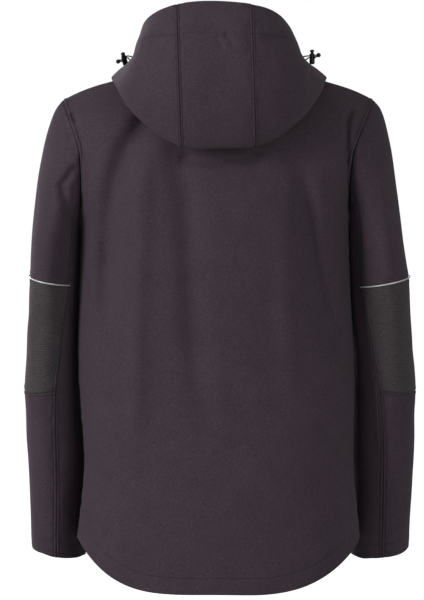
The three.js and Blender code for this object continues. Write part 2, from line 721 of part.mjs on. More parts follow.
// The same point on either side. The hood leans by its own amount, except along its neck edge.
function hoodSide(p, side, ringAt) {
  const lean = hoodLean.atZero + hoodLean.perMillimetre * p.z;
  const own = Math.min(ringAt, 1);
  const fuller = lerp(1, side > 0 ? hoodFuller.left : hoodFuller.right, own);
  const x = Math.min(p.x, hoodStripHalf) + Math.max(p.x - hoodStripHalf, 0) * fuller;
  return vec(side * x + lerp(column(leans, 'x', p.z), lean, own), p.y, p.z);
}

const ringSteps = range(hoodCurves.length * hoodRowsPerRing + 1).map((n) => n / hoodRowsPerRing);
const stripStations = range(hoodStripColumns + 1).map((n) => n / hoodStripColumns);
const sideStations = range(hoodSideColumns + 1).map((n) => 1 + ((hoodSpan - 1) * n) / hoodSideColumns);
const hoodRow = (stations, ringAt, side) => (
  stations.map((s) => hoodSide(hoodPoint(s, ringAt), side, ringAt))
);
const stripGrid = ringSteps.map((ringAt) => [
  ...hoodRow(stripStations, ringAt, 1).reverse(),
  ...hoodRow(stripStations.slice(1), ringAt, -1),
]);
addCloth('hood_centre', stripGrid, softshell, { seams: ['first', 'last'] });
const hoodLeft = ringSteps.map((ringAt) => hoodRow(sideStations, ringAt, 1).reverse());
addCloth('hood_side_left', hoodLeft, softshell, { seams: ['last'] });
const hoodRight = ringSteps.map((ringAt) => hoodRow(sideStations, ringAt, -1));
addCloth('hood_side_right', hoodRight, softshell, { seams: ['first'] });

// Zip: two tapes behind the front edges and the closed chain between them
const collarFront = range(collarRows + 1).map((r) => collarPoint(1, r / collarRows));
const frontEdge = frontHalf.map((row) => row.at(-1));
const zipLine = [...frontEdge, ...collarFront.slice(1)].map(({ y, z }) => ({ y, z }));

function zipDepth(z) {
  const n = Math.max(zipLine.findIndex((p) => p.z >= z), 1);
  const [low, high] = [zipLine[n - 1], zipLine[n]];
  return lerp(low.y, high.y, (z - low.z) / (high.z - low.z));
}

const chainTop = slider.z + chainStop;

// A strip along the zip between two edges, each with its place across and its depth behind
// the fronts' outer face.
function zipStrip(name, edges, top, thickness, stuff) {
  const inside = zipLine.map(({ z }) => z)
    .filter((z) => z > zipBottom + leastZipStep && z < top - leastZipStep);
  const grid = [zipBottom, ...inside, top].map((z) => {
    const slope = (zipDepth(z + 1) - zipDepth(z - 1)) / 2;
    const inward = vec(0, 1, -slope).normalize();
    const lean = column(leans, 'x', z);
    return edges.map(({ x, depth }) => vec(lean + x, zipDepth(z), z).addScaledVector(inward, depth));
  });
  addCloth(name, grid, stuff, { thickness });
}
const tapeDepth = clothThickness + tapeBehind;
const tapeTop = collarTop.frontZ - tapeTopDrop;
const sewnEdge = { x: tapeEnd, depth: tapeDepth + tapeTurnIn };
const toothEdge = { x: tapeStart, depth: tapeDepth };
const mirrored = ({ x, depth }) => ({ x: -x, depth });
zipStrip('zip_tape_left', [toothEdge, sewnEdge], tapeTop, tapeThickness, cordStuff);
zipStrip('zip_tape_right', [mirrored(sewnEdge), mirrored(toothEdge)], tapeTop, tapeThickness, cordStuff);
const chainEdges = [{ x: -chainHalf, depth: chainDepth }, { x: chainHalf, depth: chainDepth }];
zipStrip('zip_chain', chainEdges, chainTop, chainThickness, plastic);

const normals = meanNormals();
for (const piece of pieces) jacket.add(wall(piece, normals));

// Booleans
const samePoint = 1e-4;
const bite = 0.25; // how far two joined blocks run into each other

function toSolid(geometry) {
  const bare = geometry.clone();
  bare.deleteAttribute('normal');
  bare.deleteAttribute('uv');
  const merged = mergeVertices(bare, samePoint);
  const vertProperties = new Float32Array(merged.attributes.position.array);
  const triVerts = new Uint32Array(merged.index.array);
  return new wasm.Manifold(new wasm.Mesh({ numProp: 3, vertProperties, triVerts }));
}

function fromSolid(solid, stuff, name) {
  const mesh = solid.getMesh();
  return solidFrom(Array.from(mesh.vertProperties), Array.from(mesh.triVerts), stuff, name);
}

const blockAt = (x, y, z, width, deep, tall) => (
  toSolid(new THREE.BoxGeometry(width, deep, tall).translate(x, y, z))
);

// A round solid on the Z axis, from a profile of [radius, height] corners.
function turned(profile, segments) {
  const lathe = new THREE.LatheGeometry(profile.map(([r, z]) => new THREE.Vector2(r, z)), segments);
  return toSolid(lathe.rotateX(Math.PI / 2));
}

// Zip box at the foot of the chain
const boxZ = zipBottom - cordGap - box.tall / 2;
const boxY = zipDepth(boxZ) + box.deep / 2 - box.proud;
const boxMesh = new THREE.Mesh(new THREE.BoxGeometry(box.width, box.deep, box.tall), plastic);
boxMesh.name = 'zip_box';
boxMesh.position.set(column(leans, 'x', boxZ), boxY, boxZ);
jacket.add(boxMesh);

// Slider: a plate in front and one behind, joined by a post above the chain, with a bridge
// whose hollow holds the pull tab's bar.
const sliderPlace = vec(column(leans, 'x', slider.z), zipDepth(slider.z), slider.z);
const frontY = -slider.lift - slider.frontPlate / 2;
const plateFace = -slider.lift - slider.frontPlate;
const front = blockAt(0, frontY, 0, slider.width, slider.frontPlate, slider.long);
const backY = slider.backDepth + slider.backPlate / 2;
const rear = blockAt(0, backY, 0, slider.width, slider.backPlate, slider.long);
const postDeep = slider.backDepth + slider.lift + 4 * bite;
const postZ = (slider.long - slider.postTall) / 2;
const postY = (slider.backDepth - slider.lift) / 2;
const post = blockAt(0, postY, postZ, slider.postWidth, postDeep, slider.postTall);
const bridgeY = plateFace - slider.bridgeRise / 2 + bite;
const bridgeDeep = slider.bridgeRise + 2 * bite;
const bridge = blockAt(0, bridgeY, 0, slider.bridgeWidth, bridgeDeep, slider.bridgeLong);
const hollowDeep = slider.bridgeRise - slider.bridgeBar;
const hollow = blockAt(0, plateFace - hollowDeep / 2, 0, slider.width, hollowDeep, slider.hollowLong);
const sliderSolid = front.add(rear).add(post).add(bridge.subtract(hollow));
const sliderMesh = fromSolid(sliderSolid, metal, 'zip_slider');
const sliderGroup = new THREE.Group();
const sliderEnd = slider.long / 2;
const sliderRun = zipDepth(slider.z + sliderEnd) - zipDepth(slider.z - sliderEnd);
sliderGroup.position.copy(sliderPlace);
sliderGroup.rotation.x = -Math.atan2(sliderRun, slider.long);
sliderGroup.add(sliderMesh);
jacket.add(sliderGroup);

// Pull tab: a bar through the bridge, two arms past it and a rounded plate that hangs down
const barPlace = vec(0, plateFace - hollowDeep / 2, 0);
const barHalf = tab.armInner + tab.armWidth;
const barShape = new THREE.CylinderGeometry(tab.bar, tab.bar, 2 * barHalf, tab.barSides);
const bar = toSolid(barShape.rotateZ(Math.PI / 2));
const armTall = tab.plateStart + 1;
const armX = tab.armInner + tab.armWidth / 2;
const arms = [-1, 1].map((side) => (
  blockAt(side * armX, 0, -armTall / 2, tab.armWidth, tab.thickness, armTall)
));
const outline = new THREE.Shape();
const corner = tab.width / 2;
outline.moveTo(-corner, -tab.plateStart);
outline.lineTo(-corner, -tab.long + corner);
outline.absarc(0, -tab.long + corner, corner, Math.PI, 2 * Math.PI, false);
outline.lineTo(corner, -tab.plateStart);
outline.closePath();
const plateSettings = { depth: tab.thickness, bevelEnabled: false, curveSegments: 8 };
const plateShape = new THREE.ExtrudeGeometry(outline, plateSettings);
const plate = toSolid(plateShape.rotateX(Math.PI / 2).translate(0, tab.thickness / 2, 0));
const tabSolid = bar.add(arms[0]).add(arms[1]).add(plate);
const tabMesh = fromSolid(tabSolid, metal, 'pull_tab');
tabMesh.position.copy(barPlace);
sliderGroup.add(tabMesh);

// Drawcord at each side of the hood
function cordSolid(points, name) {
  const path = new THREE.CatmullRomCurve3(points);
  const shape = new THREE.Shape();
  shape.absarc(0, 0, cord.radius, 0, 2 * Math.PI, false);
  const steps = Math.max(strand.leastSteps, Math.round(path.getLength() / cord.step));
  const settings = { steps, bevelEnabled: false, extrudePath: path, curveSegments: cord.sides };
  return fromSolid(toSolid(new THREE.ExtrudeGeometry(shape, settings)), cordStuff, name);
}

// A frame whose Z axis is one direction and whose X axis lies as near as it can to another.
function facing(direction, across) {
  const z = direction.clone().normalize();
  const x = across.clone().addScaledVector(z, -across.dot(z)).normalize();
  const y = z.clone().cross(x);
  return new THREE.Matrix4().makeBasis(x, y, z);
}

// A place on the hood's outside and the direction in which the cloth faces there.
function hoodSpot({ station, ring: ringAt }, side) {
  const at = (s, r) => hoodSide(hoodPoint(s, r), side, r);
  const along = at(station + nearby, ringAt).sub(at(station - nearby, ringAt));
  const upward = at(station, ringAt + nearby).sub(at(station, ringAt - nearby));
  const normal = along.cross(upward).normalize();
  if (normal.x * side < 0) normal.negate();
  return { point: at(station, ringAt), normal };
}

function addDrawcord({ side: sideName, centre, axis, end, upper, lower }) {
  const side = sideName === 'left' ? 1 : -1;
  const middle = vec(...centre);
  const through = vec(...end).sub(middle).normalize();
  const frame = facing(vec(...axis), through);
  const turn = new THREE.Quaternion().setFromRotationMatrix(frame);
  const basis = [0, 1, 2].map((n) => vec(0, 0, 0).setFromMatrixColumn(frame, n));
  const place = (mesh) => {
    mesh.quaternion.copy(turn);
    mesh.position.copy(middle);
    jacket.add(mesh);
  };

  const crossSlot = (extra) => blockAt(0, 0, extra / 2, slot.length, slot.width, slot.tall + extra);
  const shell = turned([
    [0, -barrel.below],
    [barrel.radius - barrel.footBevel, -barrel.below],
    [barrel.radius, -barrel.below + barrel.footBevelTall],
    [barrel.radius, barrel.above - barrel.rimBevelTall],
    [barrel.radius - barrel.rimBevel, barrel.above],
    [0, barrel.above],
  ], barrel.segments);
  const bore = turned([
    [0, barrel.boreBottom],
    [barrel.bore, barrel.boreBottom],
    [barrel.bore, barrel.above + 1],
    [0, barrel.above + 1],
  ], barrel.segments);
  place(fromSolid(shell.subtract(bore).subtract(crossSlot(0)), plastic, `lock_barrel_${sideName}`));
  const button = turned([
    [0, plunger.bottom],
    [plunger.radius, plunger.bottom],
    [plunger.radius, plunger.headBottom],
    [plunger.headRadius, plunger.headBottom],
    [plunger.headRadius, plunger.top - plunger.headBevel],
    [plunger.headRadius - plunger.headBevel, plunger.top],
    [0, plunger.top],
  ], plunger.segments);
  place(fromSolid(button.subtract(crossSlot(plungerTravel)), plastic, `lock_plunger_${sideName}`));

  const ball = new THREE.SphereGeometry(cordEnd.radius, cordEnd.segments, cordEnd.rows);
  const ballMesh = fromSolid(toSolid(ball), plastic, `cord_end_${sideName}`);
  ballMesh.position.set(...end);
  jacket.add(ballMesh);

  [['upper', upper, 1], ['lower', lower, -1]].forEach(([level, spot, sign]) => {
    const { point, normal } = hoodSpot(spot, side);
    const ringMesh = fromSolid(turned([
      [eyelet.inner, 0],
      [eyelet.outer, 0],
      [eyelet.outer - eyelet.bevel, eyelet.tall],
      [eyelet.inner, eyelet.tall],
      [eyelet.inner, 0],
    ], eyelet.segments), metal, `eyelet_${sideName}_${level}`);
    ringMesh.quaternion.setFromRotationMatrix(facing(normal, vec(0, 1, 0)));
    ringMesh.position.copy(point).addScaledVector(normal, cordGap);
    jacket.add(ringMesh);
    const offset = basis[2].clone().multiplyScalar(sign * strandOffset);
    const inLock = (distance) => middle.clone().add(offset).addScaledVector(basis[0], distance);
    const start = point.clone().addScaledVector(normal, strand.start);
    const stop = vec(...end).addScaledVector(through, -cordEnd.radius - strand.shortOfEnd).add(offset);
    const route = [
      start,
      start.clone().addScaledVector(normal, strand.out),
      inLock(-strand.beforeLock),
      inLock(0),
      inLock(strand.afterLock),
      stop,
    ];
    jacket.add(cordSolid(route, `cord_${sideName}_${level}`));
  });
}
cordLocks.forEach(addDrawcord);

export default jacket;
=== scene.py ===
"""A softshell jacket with a hood, filled out as if worn and seen from behind. Metres, Z up."""
from math import cos, pi, radians, sin

import bpy
import numpy as np
from mathutils import Matrix, Vector, noise
from mathutils.kdtree import KDTree


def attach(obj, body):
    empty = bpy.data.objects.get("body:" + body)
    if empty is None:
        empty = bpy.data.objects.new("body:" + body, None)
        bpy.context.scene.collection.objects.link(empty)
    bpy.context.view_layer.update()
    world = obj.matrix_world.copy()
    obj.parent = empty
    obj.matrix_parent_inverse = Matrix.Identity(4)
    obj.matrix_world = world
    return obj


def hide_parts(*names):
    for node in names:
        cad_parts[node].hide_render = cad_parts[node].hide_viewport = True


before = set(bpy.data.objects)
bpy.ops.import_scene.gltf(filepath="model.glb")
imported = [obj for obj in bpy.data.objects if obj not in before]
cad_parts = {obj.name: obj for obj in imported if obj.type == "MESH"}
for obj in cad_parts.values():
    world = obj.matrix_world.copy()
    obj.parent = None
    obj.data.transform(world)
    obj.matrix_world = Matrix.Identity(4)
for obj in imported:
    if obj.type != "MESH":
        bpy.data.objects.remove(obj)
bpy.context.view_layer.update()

# Camera, light and floor. A long lens stands level, straight behind the jacket. The key light
# stands at the picture's left and a wide fill at its right. Two more lights reach the front and
# the shoulders, and white lies all round.
camera_away = 12.0
picture_height = 0.888
picture_middle = Vector((0.0074, 0.06, -0.352))
sensor = 36
far_clip = 100
room_light = 0.22

scene = bpy.context.scene
scene.view_settings.view_transform = "Standard"

bpy.ops.object.camera_add(
    location=picture_middle + Vector((0, camera_away, 0)),
    rotation=(radians(90), 0, radians(180)),
)
scene.camera = bpy.context.object
scene.camera.data.sensor_width = sensor
scene.camera.data.lens = sensor * camera_away / picture_height
scene.camera.data.clip_end = far_clip

light_target = Vector((0, 0, -0.35))
for light_name, place, size, power, colour in [
    ("key", (3.5, 2.15, 0.9), 1.5, 99, (1.0, 0.99, 0.99)),
    ("fill", (-2.4, 3.4, 0.0), 2.2, 40, (1.0, 1.0, 0.98)),
    ("front", (1.4, -3.1, 0.6), 2.4, 54, (1.0, 0.99, 0.98)),
    ("top", (2.2, 0.9, 2.3), 1.8, 12, (1.0, 1.0, 1.0)),
]:
    bpy.ops.object.light_add(type="AREA", location=place)
    light = bpy.context.object
    light.name = light_name
    light.rotation_euler = (light_target - Vector(place)).to_track_quat("-Z", "Y").to_euler()
    light.data.size = size
    light.data.energy = power
    light.data.color = colour

world = bpy.data.worlds.new("studio")
scene.world = world
world.use_nodes = True
background = world.node_tree.nodes["Background"]
background.inputs["Color"].default_value = (1, 1, 1, 1)
background.inputs["Strength"].default_value = room_light


class Value:
    """A number that changes over a surface. Arithmetic on it adds Math nodes to its finish."""

    def __init__(self, finish, socket):
        self.finish = finish
        self.socket = socket

    def math(self, operation, *values):
        return self.finish.node("ShaderNodeMath", {"operation": operation}, *values)

    def __add__(self, other):
        return self.math("ADD", self, other)

    __radd__ = __add__

    def __sub__(self, other):
        return self.math("SUBTRACT", self, other)

    def __rsub__(self, other):
        return self.math("SUBTRACT", other, self)

    def __mul__(self, other):
        return self.math("MULTIPLY", self, other)

    __rmul__ = __mul__

    def sine(self):
        return self.math("SINE", self)

    def dip(self, at, width):
        """1 where the number is at a level, falling to nothing about two widths away from it."""
        away = (self - at) * (1 / width)
        return self.math("EXPONENT", away * away * -1)


class Finish:
    """One material: its nodes, and the shader that they feed."""

    def __init__(self, name, **constants):
        self.material = bpy.data.materials.new(name)
        self.material.use_nodes = True
        self.tree = self.material.node_tree
        self.shader = self.tree.nodes["Principled BSDF"]
        for socket, value in constants.items():
            self.shader.inputs[socket.replace("_", " ")].default_value = value

    def put(self, socket, value):
        if isinstance(value, Value):
            self.tree.links.new(value.socket, socket)
        else:
            socket.default_value = value

    def node(self, kind, settings, *values, output=0, **named):
        made = self.tree.nodes.new(kind)
        for key, value in settings.items():
            if key == "stops":
                ramp = made.color_ramp.elements
                while len(ramp) < len(value):
                    ramp.new(1)
                for stop, (position, tone) in zip(ramp, value):
                    stop.position = position
                    stop.color = (*tone, 1)
            else:
                setattr(made, key, value)
        for place, value in [*enumerate(values), *named.items()]:
            self.put(made.inputs[place], value)
        return Value(self, made.outputs[output])

    def map(self, name, axis):
        flat = self.node("ShaderNodeUVMap", {"uv_map": name})
        return self.node("ShaderNodeSeparateXYZ", {}, flat, output=axis)

    def mark(self, name):
        return self.node("ShaderNodeAttribute", {"attribute_name": name}, output="Fac")

    def place(self):
        return self.node("ShaderNodeTexCoord", {}, output="Object")

    def grain(self, vector, scale, detail=2):
        return self.node("ShaderNodeTexNoise", {}, Vector=vector, Scale=scale, Detail=detail)

    def tones(self, value, *stops):
        return self.node("ShaderNodeValToRGB", {"stops": stops}, value, output="Color")

    def bump(self, height, depth):
        return self.node("ShaderNodeBump", {}, Height=height, Distance=depth, output="Normal")

    def feed(self, **sockets):
        for socket, value in sockets.items():
            self.put(self.shader.inputs[socket.replace("_", " ")], value)
        return self.material


def select_only(obj):
    """Leaves one object selected, and makes it the active one."""
    bpy.ops.object.select_all(action="DESELECT")
    obj.select_set(True)
    bpy.context.view_layer.objects.active = obj


def lay_flat(obj):
    """Puts an object's place into its mesh, and the object itself at the origin."""
    obj.data.transform(obj.matrix_basis)
    obj.matrix_basis = Matrix.Identity(4)


floor_depth = -1.05
room = 28
floor_glow = 0.93
surround_glow = 1.0
floor_finish = Finish(
    "pale_floor", Base_Color=(0.8, 0.8, 0.8, 1), Roughness=0.9, Emission_Strength=floor_glow,
)
floor_finish.feed(Emission_Color=(1, 1, 1, 1))
bpy.ops.mesh.primitive_circle_add(
    vertices=64, radius=room, fill_type="NGON", location=(0, 0, floor_depth),
)
floor = bpy.context.object
floor.name = "floor"
lay_flat(floor)
floor.data.materials.append(floor_finish.material)
surround_finish = Finish("white_surround", Base_Color=(0, 0, 0, 1), Emission_Strength=surround_glow)
surround_finish.feed(Emission_Color=(1, 1, 1, 1))
bpy.ops.mesh.primitive_uv_sphere_add(segments=32, ring_count=16, radius=room)
surround = bpy.context.object
surround.name = "surround"
surround.data.materials.append(surround_finish.material)
for stage_piece in (floor, surround):
    stage_piece.visible_diffuse = False
    stage_piece.visible_glossy = False
    stage_piece.visible_shadow = False


# The softshell: a matt woven polyester face bonded to thin dark fleece. Each cut piece is one
# sheet, drawn from the grid of its solid's outer face, with its borders rolled into the seams.
# Places and walls are in metres, and the relief at seams and folds is in mm.
millimetre = 0.001
metre = 1000
merge_step = 2e-5
tiny = 1e-12
rim_width = 0.0034  # faces with a shorter side than this belong to the rim of a solid's wall
rim_turn = cos(radians(60))  # where the grid is as fine as the rim, the rim turns more than this
soft_turn = radians(55)  # edges that turn more than this stay sharp
cage_passes = 4
grid_slack = 1e-3
side_step = 0.0005
line_end = 0.6  # how far a line of stitches stops short of both ends of its side
nowhere = 90.0  # the distance that stands for nothing near
cloth_wall = 0.0013
seam_band = 0.0025  # the strip of finer faces along every border
seam_tuck = 0.001  # how far a sewn border runs on under its neighbour
billow_fade = 12
fold_middle = -0.005  # the sides of the jacket, where folds of the back and front die out
fold_start = 0.03  # how far behind or before them a fold has its full depth

# How the cloth draws in at its seams and hems: small puckers, a rolled edge, and the ridge and
# the sunken line that a row of stitches makes.
seam_pucker = 0.8
seam_pucker_size = (0.011, 0.011, 0.014)
seam_pucker_inset = 6
seam_pucker_width = 4
hem_pucker = 0.7
hem_pucker_size = (0.012, 0.012, 0.016)
hem_pucker_width = 10
seam_roll = 0.5
seam_roll_width = 1.5
edge_roll = 0.4
edge_roll_width = 1.4
ridge_height = 0.8
ridge_inset = 0.55
ridge_width = 0.35
stitch_sink = 0.5
stitch_sink_width = 1.2


def cut_grid(node, rows, columns, core, thin_rim):
    """The outer points of a cloth solid, as rows from the bottom up and columns to the right.

    The faces are gathered outwards from the largest one that looks away from the core, up to
    the rim of the wall, and the grid is then read off row by row from one of its corners.
    """
    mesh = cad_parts[node].data
    numbers = {}
    index = [
        numbers.setdefault(tuple(round(x / merge_step) for x in v.co), len(numbers))
        for v in mesh.vertices
    ]
    points = np.zeros((len(numbers), 3))
    points[index] = [v.co for v in mesh.vertices]
    faces = np.array([[index[v] for v in face.vertices] for face in mesh.polygons])
    corners = points[faces]
    cross = np.cross(corners[:, 1] - corners[:, 0], corners[:, 2] - corners[:, 0])
    double = np.linalg.norm(cross, axis=1)
    ways = cross / np.maximum(double, tiny)[:, None]
    away = corners.mean(1) - core
    outward = double * (ways * away).sum(1) / np.linalg.norm(away, axis=1)
    shortest = np.linalg.norm(corners - np.roll(corners, 1, axis=1), axis=2).min(1)
    usable = shortest > rim_width if thin_rim else double > 0
    beside = {}
    for number, (a, b, c) in enumerate(faces):
        beside[a, b] = beside[b, c] = beside[c, a] = number
    start = int(np.argmax(np.where(usable, outward, -1)))
    found = {start}
    waiting = [start]
    while waiting:
        here = waiting.pop()
        a, b, c = faces[here]
        for edge in ((b, a), (c, b), (a, c)):
            there = beside[edge]
            if there in found or not usable[there]:
                continue
            if thin_rim or ways[there] @ ways[here] > rim_turn:
                found.add(there)
                waiting.append(there)
    if len(found) != 2 * rows * columns:
        raise ValueError(f"{node}: {len(found)} faces, not {2 * rows * columns}")

    third = {}
    for number in found:
        a, b, c = (int(v) for v in faces[number])
        third[a, b], third[b, c], third[c, a] = c, a, b
    onward = {a: b for a, b in third if (b, a) not in third}
    uses = np.bincount([a for a, b in third], minlength=len(points))
    grids = []
    for corner in [v for v in onward if uses[v] == 1]:
        border = [corner]
        for _ in range(rows + columns):
            border.append(onward[border[-1]])
        grid = [border[rows:]]
        for first in border[rows - 1::-1]:
            below = grid[-1]
            grid.append([first] + [third.get(pair, -1) for pair in zip(below, below[1:])])
        if all(v >= 0 for row in grid for v in row):
            grids.append(points[np.array(grid)])
    return min(grids, key=lambda grid: grid[0, :, 2].mean())


def lengths(grid, axis):
    """How far along the cloth each point of a grid lies from the start of its row or column."""
    steps = np.linalg.norm(np.diff(grid, axis=axis), axis=2)
    start = np.zeros_like(steps[:1] if axis == 0 else steps[:, :1])
    return np.cumsum(np.concatenate([start, steps], axis=axis), axis=axis)


def smoothed(cage):
    """Where the points of a cage end up when the surface over it is subdivided smoothly."""
    for _ in range(2):
        middle = cage.copy()
        middle[1:-1] = (cage[:-2] + 4 * cage[1:-1] + cage[2:]) / 6
        cage = middle.transpose(1, 0, 2)
    return cage


def corner_points(mesh):
    """The point that each corner of a mesh's faces belongs to."""
    corners = np.zeros(len(mesh.loops), int)
    mesh.loops.foreach_get("vertex_index", corners)
    return corners


def apply(obj, kind, **settings):
    """Adds a modifier and applies it."""
    modifier = obj.modifiers.new(kind.lower(), kind)
    for key, value in settings.items():
        setattr(modifier, key, value)
    bpy.context.view_layer.objects.active = obj
    bpy.ops.object.modifier_apply(modifier=modifier.name)


def wave(points, size, seed):
    """Smooth uneven waves between about -1 and 1, with a size along each axis."""
    offset = Vector((seed * 7.3, seed * 3.1, seed * 5.7))
    return np.array([noise.noise(Vector(p) + offset) for p in points / np.array(size)]) * 2


def bell(distance, width):
    """1 at no distance, falling off smoothly to nothing at about two widths."""
    return np.exp(-((distance / width) ** 2))


class Cut:
    """One cut piece of cloth, as a sheet over its solid's outer face that is shaped by pushes."""

    def __init__(
        self, node, rows, columns, core, sewn=(), thin_rim=True, finer=2, ring=True, soften=0,
    ):
        grid = cut_grid(node, rows, columns, core, thin_rim)
        for _ in range(soften):
            inside = grid[1:-1, 1:-1]
            grid[1:-1, 1:-1] = inside / 2 + (grid[:-2, 1:-1] + grid[2:, 1:-1]) / 4
        self.node = node
        self.core = np.array(core)
        self.grid = grid
        number = np.arange((rows + 1) * (columns + 1)).reshape(rows + 1, columns + 1)
        quads = np.stack([number[:-1, :-1], number[:-1, 1:], number[1:, 1:], number[1:, :-1]], axis=2)
        cage = grid.copy()
        for _ in range(cage_passes):
            cage += grid - smoothed(cage)
        mesh = bpy.data.meshes.new(node + "_cloth")
        mesh.from_pydata(cage.reshape(-1, 3).tolist(), [], quads.reshape(-1, 4).tolist())
        across = lengths(grid, 1)
        flat = np.stack([across - across[:, columns // 2][:, None], lengths(grid, 0)], axis=2)
        steps = np.stack(np.meshgrid(np.arange(columns + 1), np.arange(rows + 1)), axis=2)
        loops = corner_points(mesh)
        for map_name, values in [("cloth", flat), ("grid", steps)]:
            layer = mesh.uv_layers.new(name=map_name)
            layer.data.foreach_set("uv", values.reshape(-1, 2)[loops].astype(np.float32).ravel())
        piece = bpy.data.objects.new(node + "_cloth", mesh)
        scene.collection.objects.link(piece)
        self.piece = piece
        apply(piece, "SUBSURF", levels=1, boundary_smooth="PRESERVE_CORNERS")
        if ring:
            select_only(piece)
            bpy.ops.object.mode_set(mode="EDIT")
            bpy.ops.mesh.select_all(action="SELECT")
            bpy.ops.mesh.inset(thickness=seam_band, use_boundary=True, use_even_offset=True)
            bpy.ops.object.mode_set(mode="OBJECT")
        corners = grid[[0, 0, -1, -1], [0, -1, 0, -1]]
        points = np.array([v.co for v in piece.data.vertices])
        nearest = np.linalg.norm(points[:, None] - corners, axis=2).min(1)
        sharp = piece.data.attributes.new("crease_vert", "FLOAT", "POINT")
        sharp.data.foreach_set("value", (nearest < merge_step).astype(np.float32))
        apply(piece, "SUBSURF", levels=finer, boundary_smooth="PRESERVE_CORNERS")
        mesh = piece.data
        self.at = np.array([v.co for v in mesh.vertices])
        steps = np.zeros(len(mesh.loops) * 2)
        mesh.uv_layers["grid"].data.foreach_get("uv", steps)
        self.steps = np.zeros((len(mesh.vertices), 2))
        self.steps[corner_points(mesh)] = steps.reshape(-1, 2)
        self.ends = np.array([columns, rows])
        self.edges = np.array([edge.vertices[:] for edge in mesh.edges])
        self.out = np.zeros_like(self.at)
        self.push(np.zeros(len(self.at)))
        self.seam, _ = self.away(*sewn)
        self.sewn = np.zeros(len(self.at), bool)
        for side in sewn:
            axis, level, _ = self.edge(side)
            self.sewn |= np.abs(self.steps[:, axis] - level) < grid_slack

    def push(self, by, ways=None):
        """Moves every point by an amount in mm, along its own way out or along given ways."""
        mesh = self.piece.data
        ways = self.out if ways is None else ways
        self.at = self.at + ways * by[:, None] * millimetre
        mesh.vertices.foreach_set("co", self.at.ravel())
        mesh.update()
        self.out = np.array([normal.vector for normal in mesh.vertex_normals])

    def billow(self, size, height, seed):
        """Gentle uneven waves that fade towards the seams, so that the edges still meet there."""
        ways = self.at - self.core
        ways /= np.linalg.norm(ways, axis=1)[:, None]
        self.push(wave(self.at, size, seed) * height * (1 - bell(self.seam, billow_fade)), ways)

    def fold(self, facing, table):
        """Soft troughs and ridges along paths seen from behind (1) or in front (-1), in mm.

        Each has its path of X and Z, its half width, how far it stands out, and the shares of
        its length over which it rises and falls.
        """
        spots = self.at[:, [0, 2]] * metre
        total = np.zeros(len(spots))
        for path, half_width, depth, rise, fall in table:
            path = np.array(path, float)
            steps = np.diff(path, axis=0)
            spans = np.linalg.norm(steps, axis=1)
            best = np.full(len(spots), np.inf)
            along = np.zeros(len(spots))
            for start, step, span, run in zip(path, steps, spans, np.cumsum(spans) - spans):
                share = np.clip((spots - start) @ step / span**2, 0, 1)
                away = np.linalg.norm(spots - start - share[:, None] * step, axis=1)
                nearer = away < best
                best[nearer] = away[nearer]
                along[nearer] = (run + share * span)[nearer]
            along /= spans.sum()
            taper = np.clip(along / rise, 0, 1) * np.clip((1 - along) / fall, 0, 1)
            total += depth * bell(best, half_width) * np.sin(taper * pi / 2) ** 2
        near = np.clip((self.at[:, 1] - fold_middle) * facing / fold_start, 0, 1)
        self.push(total * np.sin(near * pi / 2) ** 2, np.array([[0, facing, 0]]))

    def edge(self, name):
        """Which of the grid's steps stay at one level along a side, the level, and the others."""
        axis, level = {
            "bottom": (1, 0), "top": (1, self.ends[1]), "first": (0, 0), "last": (0, self.ends[0]),
        }[name]
        return axis, level, self.steps[:, 1 - axis]

    def side(self, name, start=None, end=None):
        """Closely spaced points along one side, in order, and how far along it each one lies."""
        axis, level, order = self.edge(name)
        here = np.abs(self.steps[:, axis] - level) < grid_slack
        if start is not None:
            here &= (order > start - grid_slack) & (order < end + grid_slack)
        line = self.at[here][np.argsort(order[here])]
        run = np.concatenate([[0], np.cumsum(np.linalg.norm(np.diff(line, axis=0), axis=1))])
        dense = np.arange(0, run[-1], side_step)
        return np.stack([np.interp(dense, run, line[:, k]) for k in range(3)], axis=1), dense

    def away(self, *sides):
        """How far every point is from the nearest of some sides, and where along it, in mm."""
        if not sides:
            return np.full(len(self.at), nowhere), np.zeros(len(self.at))
        lines = [self.side(*((side,) if isinstance(side, str) else side)) for side in sides]
        points = np.concatenate([line for line, _ in lines])
        runs = np.concatenate([run for _, run in lines])
        tree = KDTree(len(points))
        for number, point in enumerate(points):
            tree.insert(point, number)
        tree.balance()
        near = [tree.find(point) for point in self.at]
        return np.array([d for _, _, d in near]) * metre, runs[[n for _, n, _ in near]] * metre

    def tuck(self):
        """Turns the sewn borders under, so that the pieces on both sides of a seam overlap."""
        sewn = self.sewn
        a, b = self.edges.T
        out_of = np.zeros_like(self.at)
        for one, other in ((a, b), (b, a)):
            leaving = sewn[one] & ~sewn[other]
            np.add.at(out_of, one[leaving], self.at[one[leaving]] - self.at[other[leaving]])
        long = np.linalg.norm(out_of, axis=1)
        moved = long > 0
        self.at[moved] += seam_tuck * out_of[moved] / long[moved][:, None]
        self.at[moved] -= seam_tuck * self.out[moved]
        self.push(np.zeros(len(self.at)))

    def line(self, field, level, order):
        """The places and ways out where a field of the points crosses a level, in order."""
        a, b = self.edges.T
        cut = (field[a] - level) * (field[b] - level) < 0
        a, b = a[cut], b[cut]
        share = (level - field[a]) / (field[b] - field[a])
        when = order[a] + share * (order[b] - order[a])
        keep = (when > order.min() + line_end) & (when < order.max() - line_end)
        a, b, share, when = a[keep], b[keep], share[keep][:, None], when[keep]
        places = self.at[a] + share * (self.at[b] - self.at[a])
        ways = self.out[a] + share * (self.out[b] - self.out[a])
        sort = np.argsort(when)
        return places[sort], ways[sort]

